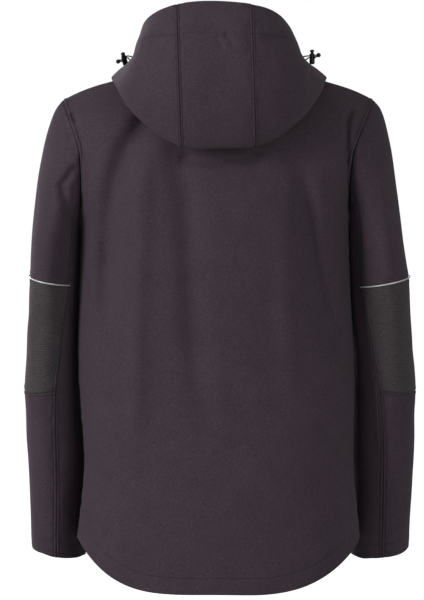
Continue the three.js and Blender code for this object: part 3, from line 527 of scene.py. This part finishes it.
    def finish(
        self, cloth, slot, held, rests_on, stitched=(), turned=(), hem=None, trim=(), wall=cloth_wall,
    ):
        """stitched and turned hold a side and how far in its line of stitches lies, in mm. The hem
        is the first turned line. Trim is what is sewn to the piece; it is not used. A piece that
        isn't held as a sheet is itself such a trim.
        """
        seam = self.seam
        fields = []
        stitch = np.full(len(self.at), nowhere)
        for side, inset in stitched:
            field, order = self.away(side)
            fields.append((field, inset, order))
            stitch = np.where(np.abs(field - inset) < np.abs(stitch), field - inset, stitch)
        edge = np.full(len(self.at), nowhere)
        for side, inset in turned:
            field, order = self.away(side)
            fields.append((field, inset, order))
            edge = np.minimum(edge, field)
            if hem is None:
                hem = field - inset
        if hem is None:
            hem = np.full(len(self.at), nowhere)
        beside_seam = bell(seam - seam_pucker_inset, seam_pucker_width)
        relief = wave(self.at, seam_pucker_size, 3) * seam_pucker * beside_seam
        relief += wave(self.at, hem_pucker_size, 5) * hem_pucker * bell(hem, hem_pucker_width)
        rolled = seam_roll * bell(seam, seam_roll_width) + edge_roll * bell(edge, edge_roll_width)
        for field, inset, _ in fields[:len(stitched)]:
            relief += ridge_height * bell(field - inset * ridge_inset, inset * ridge_width)
            relief -= stitch_sink * bell(field - inset, stitch_sink_width)
        self.push(relief - rolled)
        self.tuck()
        for name, values in [("seam", seam), ("stitch", stitch), ("hem", hem)]:
            mark = self.piece.data.attributes.new(name, "FLOAT", "POINT")
            mark.data.foreach_set("value", np.clip(values, -nowhere, nowhere).astype(np.float32))
        piece = self.piece
        piece.data.materials.append(cloth)
        piece.data.materials.append(lining.material)
        lines = [self.line(*field) for field in fields]
        apply(
            piece, "SOLIDIFY", thickness=wall, offset=-1,
            material_offset=1, material_offset_rim=0,
        )
        select_only(piece)
        bpy.ops.object.shade_smooth_by_angle(angle=soft_turn)
        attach(piece, "jacket")
        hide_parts(self.node)
        if held is None:
            return lines
        grid = self.grid
        halves = [
            (grid[:-1, :-1], grid[:-1, 1:], grid[1:, 1:]),
            (grid[:-1, :-1], grid[1:, 1:], grid[1:, :-1]),
        ]
        doubled = [np.linalg.norm(np.cross(b - a, c - a), axis=2).sum() for a, b, c in halves]
        return lines


lining = Finish("fleece_lining", Roughness=0.95, Sheen_Weight=0.4, Sheen_Roughness=0.6)
nap = lining.grain(lining.place(), 900, 3)
lining.feed(
    Base_Color=lining.tones(nap, (0.3, (0.020, 0.018, 0.020)), (0.75, (0.038, 0.034, 0.038))),
    Normal=lining.bump(nap, 0.0006),
)


fibre_scale = 1100
heather_scale = 420
patch_scale = 30
groove_width = 1.0
groove_depth = 0.9


def woven(name, dark, light, yarn=0.9, rib=0.0, rough=0.86, second_line=0.0):
    """Woven cloth with ditches at its seams and grooves along its stitches, sunk in relief and darkened
    in colour as painted shade. Sizes in mm.
    """
    cloth = Finish(name, Sheen_Weight=0.08, Sheen_Roughness=0.5, Specular_IOR_Level=0.25)
    turn = 2 * pi / (yarn * millimetre)
    across = cloth.map("cloth", "X")
    upward = cloth.map("cloth", "Y")
    weave = (across * turn).sine() * (upward * turn).sine()
    ribs = (upward * (turn / 2)).sine()
    fibre = cloth.grain(cloth.place(), fibre_scale, 3)
    patches = cloth.grain(cloth.place(), patch_scale, 3)
    heather = cloth.grain(cloth.place(), heather_scale, 2)
    hem = cloth.mark("hem")
    grooves = cloth.mark("stitch").dip(0, groove_width) + hem.dip(0, groove_width)
    if second_line:
        grooves = grooves + hem.dip(second_line, groove_width)
    ditch_and_shade = cloth.mark("seam").dip(0, groove_width) + grooves * groove_depth
    tone = 0.5 + (fibre - 0.5) * 0.7 + (heather - 0.5) * 0.9 + (patches - 0.5) * 0.25
    # The darker colour in the seam ditches and the stitch and hem grooves is painted shade; the same
    # amount also sinks them in the bump.
    tone = tone + weave * 0.06 + ribs * rib - ditch_and_shade * 0.22
    height = weave * 0.05 + fibre * 0.08 + heather * 0.06 + ribs * (rib * 0.7) - ditch_and_shade
    cloth.feed(
        Base_Color=cloth.tones(tone, (0.0, dark), (1.0, light)),
        Roughness=rough + (fibre - 0.5) * 0.16,
        Normal=cloth.bump(height, millimetre),
    )
    return cloth.material


shell_dark = (0.026, 0.0176, 0.0245)
shell_light = (0.096, 0.0665, 0.0905)
elbow_dark = (0.026, 0.0222, 0.0240)
elbow_light = (0.104, 0.089, 0.096)
cuff_lines = (21, 6)
body_cloth = woven("softshell_body", shell_dark, shell_light)
sleeve_cloth = woven(
    "softshell_sleeve", shell_dark, shell_light, second_line=cuff_lines[1] - cuff_lines[0],
)
elbow_cloth = woven("elbow_cloth", elbow_dark, elbow_light, yarn=1.7, rib=0.16, rough=0.92)

thread = Finish("sewing_thread", Roughness=0.6, Sheen_Weight=0.3)
ply = thread.grain(thread.place(), 4000, 1)
thread.feed(
    Base_Color=thread.tones(ply, (0.3, (0.030, 0.024, 0.028)), (0.7, (0.080, 0.066, 0.074))),
    Normal=thread.bump(ply, 0.0002),
)
stitch_pitch = 0.0032
stitch_long = 0.0023
stitch_half = 0.00026
stitch_flatter = 1.2
stitch_sides = 5
stitch_rings = [(-0.5, 0.3), (-0.36, 1.0), (0.36, 1.0), (0.5, 0.3)]


def face_outward(piece, merge=0):
    """Turns a closed piece's faces outwards, once points nearer than merge have been joined."""
    select_only(piece)
    bpy.ops.object.mode_set(mode="EDIT")
    bpy.ops.mesh.select_all(action="SELECT")
    if merge:
        bpy.ops.mesh.remove_doubles(threshold=merge)
    bpy.ops.mesh.normals_make_consistent()
    bpy.ops.object.mode_set(mode="OBJECT")


def made_of(name, points, faces, finish):
    """A piece on the jacket, of closed forms that are given by their points and faces."""
    mesh = bpy.data.meshes.new(name)
    mesh.from_pydata(points, [], faces)
    mesh.materials.append(finish)
    piece = bpy.data.objects.new(name, mesh)
    scene.collection.objects.link(piece)
    face_outward(piece)
    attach(piece, "jacket")
    return piece


def stitches(name, lines):
    """Rows of topstitching: short rounded capsules of thread, half sunk along each line."""
    turns = np.arange(stitch_sides) * 2 * pi / stitch_sides
    shape = [
        (x * stitch_long, size * stitch_half * stitch_flatter * cos(a), size * stitch_half * sin(a))
        for x, size in stitch_rings
        for a in turns
    ]
    quads = []
    for ring in range(len(stitch_rings) - 1):
        for k in range(stitch_sides):
            a, b = ring * stitch_sides + k, ring * stitch_sides + (k + 1) % stitch_sides
            quads.append((a, b, b + stitch_sides, a + stitch_sides))
    end_ring = (len(stitch_rings) - 1) * stitch_sides
    ends = [tuple(range(stitch_sides))[::-1], tuple(range(end_ring, end_ring + stitch_sides))]
    points = []
    faces = []
    for places, ways in lines:
        run = np.concatenate([[0], np.cumsum(np.linalg.norm(np.diff(places, axis=0), axis=1))])
        spots = np.arange(stitch_pitch, run[-1] - stitch_pitch / 2, stitch_pitch)
        middle, ahead, up = (
            np.stack([np.interp(s, run, source[:, k]) for k in range(3)], axis=1)
            for s, source in ((spots, places), (spots + stitch_long / 2, places), (spots, ways))
        )
        for spot, on, way in zip(middle, ahead, up):
            forward = Vector(on - spot).normalized()
            beside = Vector(way).cross(forward).normalized()
            top = forward.cross(beside)
            base = len(points)
            points.extend(Vector(spot) + p[0] * forward + p[1] * beside + p[2] * top for p in shape)
            faces.extend(tuple(base + v for v in face) for face in quads + ends)
    made_of(name, points, faces, thread.material)
    bpy.ops.object.shade_smooth()


# Back panel: one piece from the neckline to the drop tail, which is cut longer than the fronts.
# It hangs from the shoulders in soft upright folds, with a pull from the hood towards each arm.
# The table runs on over the sleeves' backs, so that a fold may cross from one to the other.
armpit_row = 11
torso_rows = 23
back_columns = 22
body_waves = (0.09, 0.09, 0.16)
body_billow = 1.2
armhole_stitch = 6
hem_depth = 24
rear_folds = [
    ([(96, -70), (110, -94), (131, -126), (150, -178), (159, -240), (162, -305), (164, -440)],
     19, -17.5, 0.05, 0.4),
    ([(156, -230), (161, -300), (163, -420)], 17, -6.0, 0.3, 0.4),
    ([(104, -104), (110, -150), (114, -263), (120, -410), (124, -560), (126, -650)], 17, 7.5, 0.15, 0.3),
    ([(60, -112), (58, -139), (47, -192), (41, -263), (35, -382), (23, -500), (5, -619)],
     20, -10.0, 0.05, 0.5),
    ([(-20, -420), (-24, -540), (-20, -660)], 22, -2.2, 0.4, 0.4),
    ([(-118, -112), (-123, -139), (-129, -204), (-139, -281), (-154, -358), (-173, -417), (-204, -475)],
     15, -14.0, 0.35, 0.2),
    ([(-92, -200), (-100, -330), (-110, -440), (-108, -560)], 16, 4.0, 0.4, 0.5),
    ([(-150, -150), (-160, -220), (-172, -300)], 14, 3.4, 0.4, 0.5),
    ([(-150, -560), (-154, -620), (-146, -690)], 16, -2.2, 0.4, 0.5),
    ([(-206, -64), (-198, -74), (-193, -90), (-192, -128), (-194, -178), (-197, -228)],
     4.2, -9.0, 0.1, 0.1),
    ([(-180, -96), (-181, -140), (-184, -190)], 7, 2.4, 0.4, 0.4),
    ([(216, -72), (212, -81), (205, -94)], 5, -5.5, 0.3, 0.3),
    ([(62, -141), (0, -145), (-72, -141)], 11, -10.0, 0.15, 0.15),
    ([(206, -145), (229, -182), (225, -203), (215, -240), (212, -300)], 7, -7.0, 0.15, 0.3),
    ([(229, -71), (211, -99), (201, -139), (196, -164), (196, -203), (198, -252), (199, -340),
      (198, -430)],
     4, 3.4, 0.05, 0.3),
    ([(206, -138), (218, -158), (234, -184)], 7, 2.8, 0.3, 0.3),
    ([(228, -190), (224, -214), (216, -240)], 7, 1.8, 0.3, 0.4),
    ([(238, -92), (226, -100), (212, -116)], 5, -1.6, 0.4, 0.4),
    ([(232, -116), (220, -106), (212, -100)], 4, 1.0, 0.4, 0.4),
    ([(262, -190), (252, -210), (236, -222)], 8, -1.6, 0.4, 0.4),
    ([(268, -470), (258, -560), (264, -660)], 9, 1.6, 0.4, 0.4),
    ([(240, -520), (236, -600), (240, -690)], 8, -1.5, 0.4, 0.4),
    ([(-202, -176), (-196, -177), (-190, -176)], 3.5, -2.6, 0.3, 0.3),
    ([(-208, -206), (-200, -210), (-192, -214)], 4, -3.0, 0.3, 0.3),
    ([(-214, -130), (-208, -160), (-206, -190)], 8, 1.6, 0.3, 0.4),
    ([(-204, -232), (-212, -262), (-214, -300)], 7, -1.8, 0.3, 0.4),
    ([(-232, -120), (-240, -150), (-236, -190)], 11, -1.6, 0.4, 0.4),
    ([(-246, -150), (-252, -230), (-262, -310)], 11, 1.6, 0.4, 0.4),
    ([(-262, -470), (-256, -560), (-266, -660)], 9, 1.6, 0.4, 0.4),
]
back_core = (0, 0, -0.35)
back = Cut("back_panel", torso_rows, back_columns, back_core, ("first", "last", "top"), soften=2)
back.billow(body_waves, body_billow, 1)
back.fold(1, rear_folds)
back_lines = back.finish(
    body_cloth, "softshell", "hung", ["collar"],
    stitched=[((side, armpit_row, torso_rows), armhole_stitch) for side in ("first", "last")],
    turned=[("bottom", hem_depth)],
)
stitches("back_stitching", back_lines)

# Fronts: a left and a right piece, meeting at the zip, with a turned edge and a turned hem.
# The picture doesn't show them, so they are plain, with folds like those of the back.
front_columns = 11
zip_edge_stitch = 7
for side, toward, zip_side, outer_side in [
    ("left", 1, "first", "last"),
    ("right", -1, "last", "first"),
]:
    front_core = (toward * 0.08, 0, -0.35)
    front = Cut(
        f"front_{side}", torso_rows, front_columns, front_core, (outer_side, "top"),
        finer=1, soften=2,
    )
    front.billow(body_waves, body_billow, 2 + toward)
    front.fold(-1, [
        ([(toward * 70, -60), (toward * 96, -120), (toward * 132, -170)], 15, -3.5, 0.2, 0.5),
        ([(toward * 118, -210), (toward * 112, -380), (toward * 124, -560)], 19, -2.4, 0.4, 0.4),
        ([(toward * 66, -260), (toward * 72, -430), (toward * 62, -640)], 22, 2.0, 0.4, 0.4),
        ([(toward * 24, -180), (toward * 34, -300), (toward * 22, -420)], 16, -1.6, 0.4, 0.4),
    ])
    front_lines = front.finish(
        body_cloth, "softshell", "hung", ["back_panel", "collar"],
        stitched=[((outer_side, armpit_row, torso_rows), armhole_stitch)],
        turned=[("bottom", hem_depth), (zip_side, zip_edge_stitch)],
    )
    stitches(f"front_{side}_stitching", front_lines)

# Sleeves: an outer strip in three parts, with an elbow patch of ribbed cloth under a reflective
# piping, and an inner strip, which leans on the body where the arm hangs against it. Two stitched
# seams run down each sleeve, and the cuff is turned up.
piping_shine = Finish("reflective_piping", Roughness=0.38, Metallic=0.35, Specular_IOR_Level=0.6)
beads = piping_shine.grain(piping_shine.place(), 2200, 2)
piping_shine.feed(
    Base_Color=piping_shine.tones(beads, (0.2, (0.62, 0.64, 0.66)), (0.8, (0.86, 0.87, 0.88))),
    Normal=piping_shine.bump(beads, 0.0002),
)
piping_round = 0.7
outer_columns = 16
under_rows = 23
under_columns = 8
sleeve_waves = (0.032, 0.032, 0.05)
sleeve_billow = 1.3
sleeve_stitch = 4
sideways = np.array([[1.0, 0, 0]])
lean_spread = 1.7
leans = [
    (-640, 0), (-610, 1.5), (-580, 3.8), (-520, 3.4), (-460, 3.0), (-400, 4.4), (-340, 5.4),
    (-310, 5.8), (-280, 6.8), (-252, 6.4), (-222, 0),
]
for side, toward, back_seam, front_seam in [
    ("left", 1, "last", "first"),
    ("right", -1, "first", "last"),
]:
    core = (toward * 0.245, -0.02, -0.4)
    strips = [
        ("upper_sleeve", 9, sleeve_cloth, "softshell", "back_panel", []),
        ("elbow_patch", 6, elbow_cloth, "elbow_cloth", "upper_sleeve_" + side, []),
        ("lower_sleeve", 8, sleeve_cloth, "softshell", "elbow_patch_" + side, [("top", sleeve_stitch)]),
    ]
    piping_core = (toward * 0.245, -0.01, -0.32)
    piping = Cut(f"piping_{side}", 1, outer_columns, piping_core, thin_rim=False, ring=False)
    across = piping.steps[:, 1] * 2 - 1
    piping.push(piping_round * (1 - across**2))
    piping.finish(piping_shine.material, "reflective_piping", None, [])
    seam_lines = []
    for strip, rows, cloth, slot, above, seam_above in strips:
        lower = strip == "lower_sleeve"
        sewn = ("first", "last", "top") if lower else ("first", "last", "top", "bottom")
        cut = Cut(f"{strip}_{side}", rows, outer_columns, core, sewn)
        cut.billow(sleeve_waves, sleeve_billow, 4 + toward)
        cut.fold(1, rear_folds)
        seam_lines += cut.finish(
            cloth, slot, "hung", [above],
            stitched=[(back_seam, sleeve_stitch), *seam_above],
            turned=[("bottom", inset) for inset in cuff_lines] if lower else (),
            trim=[piping.piece] if strip == "elbow_patch" else (),
        )
    under = Cut(f"under_sleeve_{side}", under_rows, under_columns, core, ("first", "last", "top"))
    under.billow(sleeve_waves, sleeve_billow, 4 + toward)
    under.fold(1, rear_folds)
    heights, closer = np.array(leans).T
    between_seams = np.clip(lean_spread * np.sin(under.steps[:, 0] / under_columns * pi), 0, 1)
    lean = np.interp(under.at[:, 2] * metre, heights, closer) * between_seams
    under.push(lean, -toward * sideways)
    seam_lines += under.finish(
        sleeve_cloth, "softshell", "hung", ["back_panel"],
        stitched=[(front_seam, sleeve_stitch)],
        turned=[("bottom", inset) for inset in cuff_lines],
    )
    stitches(f"sleeve_{side}_stitching", seam_lines)

# Hood: a centre strip between two sides, folded back on itself behind the neck, and the collar
# it is sewn to. Both long seams are stitched down twice, and a channel for the cord runs round.
hood_rows = 20
channel_row = 16
channel_level = 0.1
column_run = 10
hood_waves = (0.05, 0.05, 0.05)
hood_billow = 1.1
hood_stitch = 3
hood_wall = 0.0007
hood_parts = [
    ("hood_centre", 6, (0, 0.1, 0), True, ("first", "last")),
    ("hood_side_left", 12, (0.06, 0.06, 0), False, ("last",)),
    ("hood_side_right", 12, (-0.06, 0.06, 0), False, ("first",)),
]
hood_folds = [
    ([(-8, 40), (-20, 30), (-30, 12)], 5, -3.0, 0.2, 0.6),
    ([(2, 38), (-6, 24), (-8, 8)], 5, -2.4, 0.2, 0.6),
    ([(72, 30), (92, 6), (104, -26)], 12, 1.8, 0.3, 0.5),
    ([(-70, 26), (-88, 0), (-100, -30)], 12, 1.8, 0.3, 0.5),
    ([(60, -118), (84, -92), (110, -56)], 8, -1.6, 0.3, 0.5),
    ([(-62, -112), (-84, -84), (-106, -46)], 8, -1.6, 0.3, 0.5),
]
hood_lines = []
for node, columns, core, thin_rim, seams in hood_parts:
    cut = Cut(node, hood_rows, columns, core, seams, thin_rim=thin_rim)
    cut.billow(hood_waves, hood_billow, 8)
    cut.fold(1, hood_folds)
    row_height = float(lengths(cut.grid, 0)[-1].mean()) * metre / hood_rows
    channel = (cut.steps[:, 1] - channel_row) * row_height
    hood_lines += cut.finish(
        body_cloth, "softshell", "draped", ["back_panel", "collar"],
        stitched=[(seam, hood_stitch) for seam in seams], hem=channel, wall=hood_wall,
    )
    hood_lines.append(cut.line(channel, channel_level, cut.steps[:, 0] * column_run))
stitches("hood_stitching", hood_lines)
collar_rows = 4
collar_columns = 20
collar_stitch = 6
collar = Cut("collar", collar_rows, collar_columns, (0, 0, 0), ("bottom",))
collar_lines = collar.finish(
    body_cloth, "softshell", "folded", ["back_panel"], turned=[("top", collar_stitch)],
)
stitches("collar_stitching", collar_lines)


# Zip: a tape behind each front edge and two rows of moulded teeth that lock into each other, with
# a strip of the tapes' cloth behind them. The slider is at the top, where the zip is closed, and
# its pull tab hangs on the bridge and rides on its own body.
def dressed(node, body, finish, round_by=0.0003, angle=30):
    """A CAD node's own form with rounded edges, for a piece that is as hard as it looks."""
    piece = bpy.data.objects.new(node + "_finish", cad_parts[node].data.copy())
    scene.collection.objects.link(piece)
    piece.data.materials.clear()
    piece.data.materials.append(finish)
    face_outward(piece, merge_step)
    apply(
        piece, "BEVEL", width=round_by, segments=2,
        limit_method="ANGLE", angle_limit=radians(angle),
    )
    select_only(piece)
    bpy.ops.object.shade_smooth_by_angle(angle=radians(angle + 10))
    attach(piece, body)
    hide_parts(node)
    return piece


tape_cloth = Finish("zip_tape", Roughness=0.85, Sheen_Weight=0.2)
twill = tape_cloth.grain(tape_cloth.place(), 1500, 2)
tape_cloth.feed(
    Base_Color=tape_cloth.tones(twill, (0.3, (0.008, 0.008, 0.009)), (0.7, (0.024, 0.023, 0.025))),
    Normal=tape_cloth.bump(twill, 0.0004),
)
moulded = Finish("black_plastic", Roughness=0.42, Specular_IOR_Level=0.5)
skin = moulded.grain(moulded.place(), 700, 3)
moulded.feed(
    Base_Color=moulded.tones(skin, (0.2, (0.006, 0.006, 0.0065)), (0.8, (0.014, 0.0135, 0.0145))),
    Roughness=0.4 + skin * 0.14,
    Normal=moulded.bump(skin, 0.0001),
)
dark_metal = Finish("dark_metal", Metallic=0.9)
brushed = dark_metal.grain(dark_metal.place(), 500, 4)
dark_metal.feed(
    Base_Color=dark_metal.tones(brushed, (0.3, (0.045, 0.044, 0.046)), (0.7, (0.09, 0.088, 0.092))),
    Roughness=0.3 + brushed * 0.15,
)
for side in ("left", "right"):
    dressed(f"zip_tape_{side}", "jacket", tape_cloth.material, 0.0002)
dressed("zip_box", "jacket", moulded.material, 0.0005)
dressed("zip_slider", "jacket", dark_metal.material, 0.0004)
dressed("pull_tab", "pull_tab", dark_metal.material, 0.0003)

tooth_pitch = 0.0030
tooth_size = (0.0033, 0.0024, 0.00132)
tooth_reach = 0.0011
tooth_round = 0.0004
chain_corners = 4
tape_half = 0.0036
tape_front = 0.0012
tape_back = 0.0021
teeth_for_tape = 4
bpy.ops.mesh.primitive_cube_add(size=1)
tooth = bpy.context.object
tooth.scale = tooth_size
bpy.context.view_layer.update()
lay_flat(tooth)
apply(tooth, "BEVEL", width=tooth_round, segments=1)
tooth_points = [tuple(v.co) for v in tooth.data.vertices]
tooth_faces = [tuple(face.vertices) for face in tooth.data.polygons]
bpy.data.objects.remove(tooth)
chain_points = np.array([v.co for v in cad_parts["zip_chain"].data.vertices])
chain_points = np.unique(chain_points.round(5), axis=0)
chain_points = chain_points[np.argsort(chain_points[:, 2])]
whole_rows = len(chain_points) // chain_corners
chain = chain_points[:whole_rows * chain_corners].reshape(whole_rows, chain_corners, 3).mean(1)
chain_run = np.concatenate([[0], np.cumsum(np.linalg.norm(np.diff(chain, axis=0), axis=1))])
tape_corners = [
    (-tape_half, tape_back), (tape_half, tape_back), (tape_half, tape_front), (-tape_half, tape_front),
]
tape_points = []
teeth_points = []
teeth_faces = []
right = Vector((1, 0, 0))
for number, spot in enumerate(np.arange(tooth_pitch, chain_run[-1] - tooth_pitch, tooth_pitch / 2)):
    here, ahead = (
        Vector([float(np.interp(s, chain_run, chain[:, k])) for k in range(3)])
        for s in (spot, spot + tooth_pitch / 2)
    )
    up = (ahead - here).normalized()
    across = right if number % 2 else -right
    deep = up.cross(right).normalized()
    middle = here + across * tooth_reach
    teeth_faces.extend(tuple(len(teeth_points) + v for v in face) for face in tooth_faces)
    teeth_points.extend(middle + p[0] * across + p[1] * deep + p[2] * up for p in tooth_points)
    if number % teeth_for_tape == 0:
        tape_points.extend(here + x * right + y * deep for x, y in tape_corners)
teeth = made_of("zip_teeth", teeth_points, teeth_faces, moulded.material)
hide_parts("zip_chain")

sides = len(tape_corners)
top_end = len(tape_points) - sides
tape_faces = [tuple(range(sides))[::-1], tuple(range(top_end, top_end + sides))]
for base in range(0, top_end, sides):
    for k in range(sides):
        a, b = base + k, base + (k + 1) % sides
        tape_faces.append((a, b, b + sides, a + sides))
made_of("zip_tape_middle", tape_points, tape_faces, tape_cloth.material)

# Hood cord: on each side two strands come out of eyelets, pass through the barrel of a spring
# lock and end in a moulded ball. The lock's plunger rides on its own body. Sizes here are in mm:
# where each lock hangs, the way its barrel points, where the ball is, and a strand's route.
cord_cloth = Finish("drawcord", Roughness=0.8, Sheen_Weight=0.2)
braid = cord_cloth.grain(cord_cloth.place(), 2600, 2)
cord_cloth.feed(
    Base_Color=cord_cloth.tones(braid, (0.3, (0.008, 0.0075, 0.008)), (0.7, (0.028, 0.026, 0.027))),
    Normal=cord_cloth.bump(braid, 0.0005),
)
cord_half = 0.001
locks = {
    "left": {"middle": (138, 0, 6.5), "axis": (0.2, 0.55, 0.81), "ball": (147, 9.5, 2.5)},
    "right": {"middle": (-141.5, -2, 9.5), "axis": (0, 0.12, 0.99), "ball": (-151, 8.5, 12)},
}
strand_apart = 1.3
into_eyelet = 0.2
out_of_eyelet = 3.8
before_lock = 6
after_lock = 4.5
before_ball = 4.1


def route(side, height):
    """The places, to 0.01 mm, that one strand passes from inside its eyelet to the ball."""
    middle, axis, ball = (Vector(locks[side][name]) for name in ("middle", "axis", "ball"))
    axis.normalize()
    toward_ball = (ball - middle).normalized()
    ahead = (toward_ball - axis * toward_ball.dot(axis)).normalized()
    beside = axis * strand_apart * (1 if height == "upper" else -1)
    ring = np.array([v.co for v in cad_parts[f"eyelet_{side}_{height}"].data.vertices]) * metre
    ring = np.unique(ring.round(3), axis=0)
    eyelet = Vector(ring.mean(0))
    out = Vector(np.linalg.svd(ring - ring.mean(0))[2][-1])
    if out.x * middle.x < 0:
        out.negate()
    places = [
        eyelet - out * into_eyelet,
        eyelet + out * out_of_eyelet,
        middle + beside - ahead * before_lock,
        middle + beside,
        middle + beside + ahead * after_lock,
        ball + beside - toward_ball * before_ball,
    ]
    return [[round(number, 2) for number in place] for place in places]


def through(knots, between=6):
    """Points of a smooth line through some places, closer together where the places are."""
    knots = [Vector(knot) * millimetre for knot in knots]
    knots = [2 * knots[0] - knots[1], *knots, 2 * knots[-1] - knots[-2]]
    points = [knots[1]]
    for a, b, c, d in zip(knots, knots[1:], knots[2:], knots[3:]):
        ab, bc, cd = ((q - p).length ** 0.5 for p, q in ((a, b), (b, c), (c, d)))
        start = ((b - a) / ab - (c - a) / (ab + bc) + (c - b) / bc) * bc
        end = ((c - b) / bc - (d - b) / (bc + cd) + (d - c) / cd) * bc
        for step in range(1, between + 1):
            t = step / between
            points.append(
                b + start * t + (3 * (c - b) - 2 * start - end) * t**2
                + (2 * (b - c) + start + end) * t**3
            )
    return points


for side in ("left", "right"):
    end_piece = dressed(f"cord_end_{side}", "jacket", moulded.material, 0.0002)
    dressed(f"lock_barrel_{side}", "jacket", moulded.material)
    dressed(f"lock_plunger_{side}", f"plunger_{side}", moulded.material)
    for height in ("upper", "lower"):
        dressed(f"eyelet_{side}_{height}", "jacket", dark_metal.material, 0.0002)
        path = through(route(side, height))
        curve = bpy.data.curves.new(f"cord_{side}_{height}_braid", "CURVE")
        curve.dimensions = "3D"
        curve.bevel_depth = cord_half
        curve.bevel_resolution = 3
        curve.use_fill_caps = True
        spline = curve.splines.new("POLY")
        spline.points.add(len(path) - 1)
        for point, place in zip(spline.points, path):
            point.co = (*place, 1)
        curve.materials.append(cord_cloth.material)
        strand = bpy.data.objects.new(curve.name, curve)
        scene.collection.objects.link(strand)
        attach(strand, "jacket")
        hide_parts(f"cord_{side}_{height}")
        length = sum((b - a).length for a, b in zip(path, path[1:]))
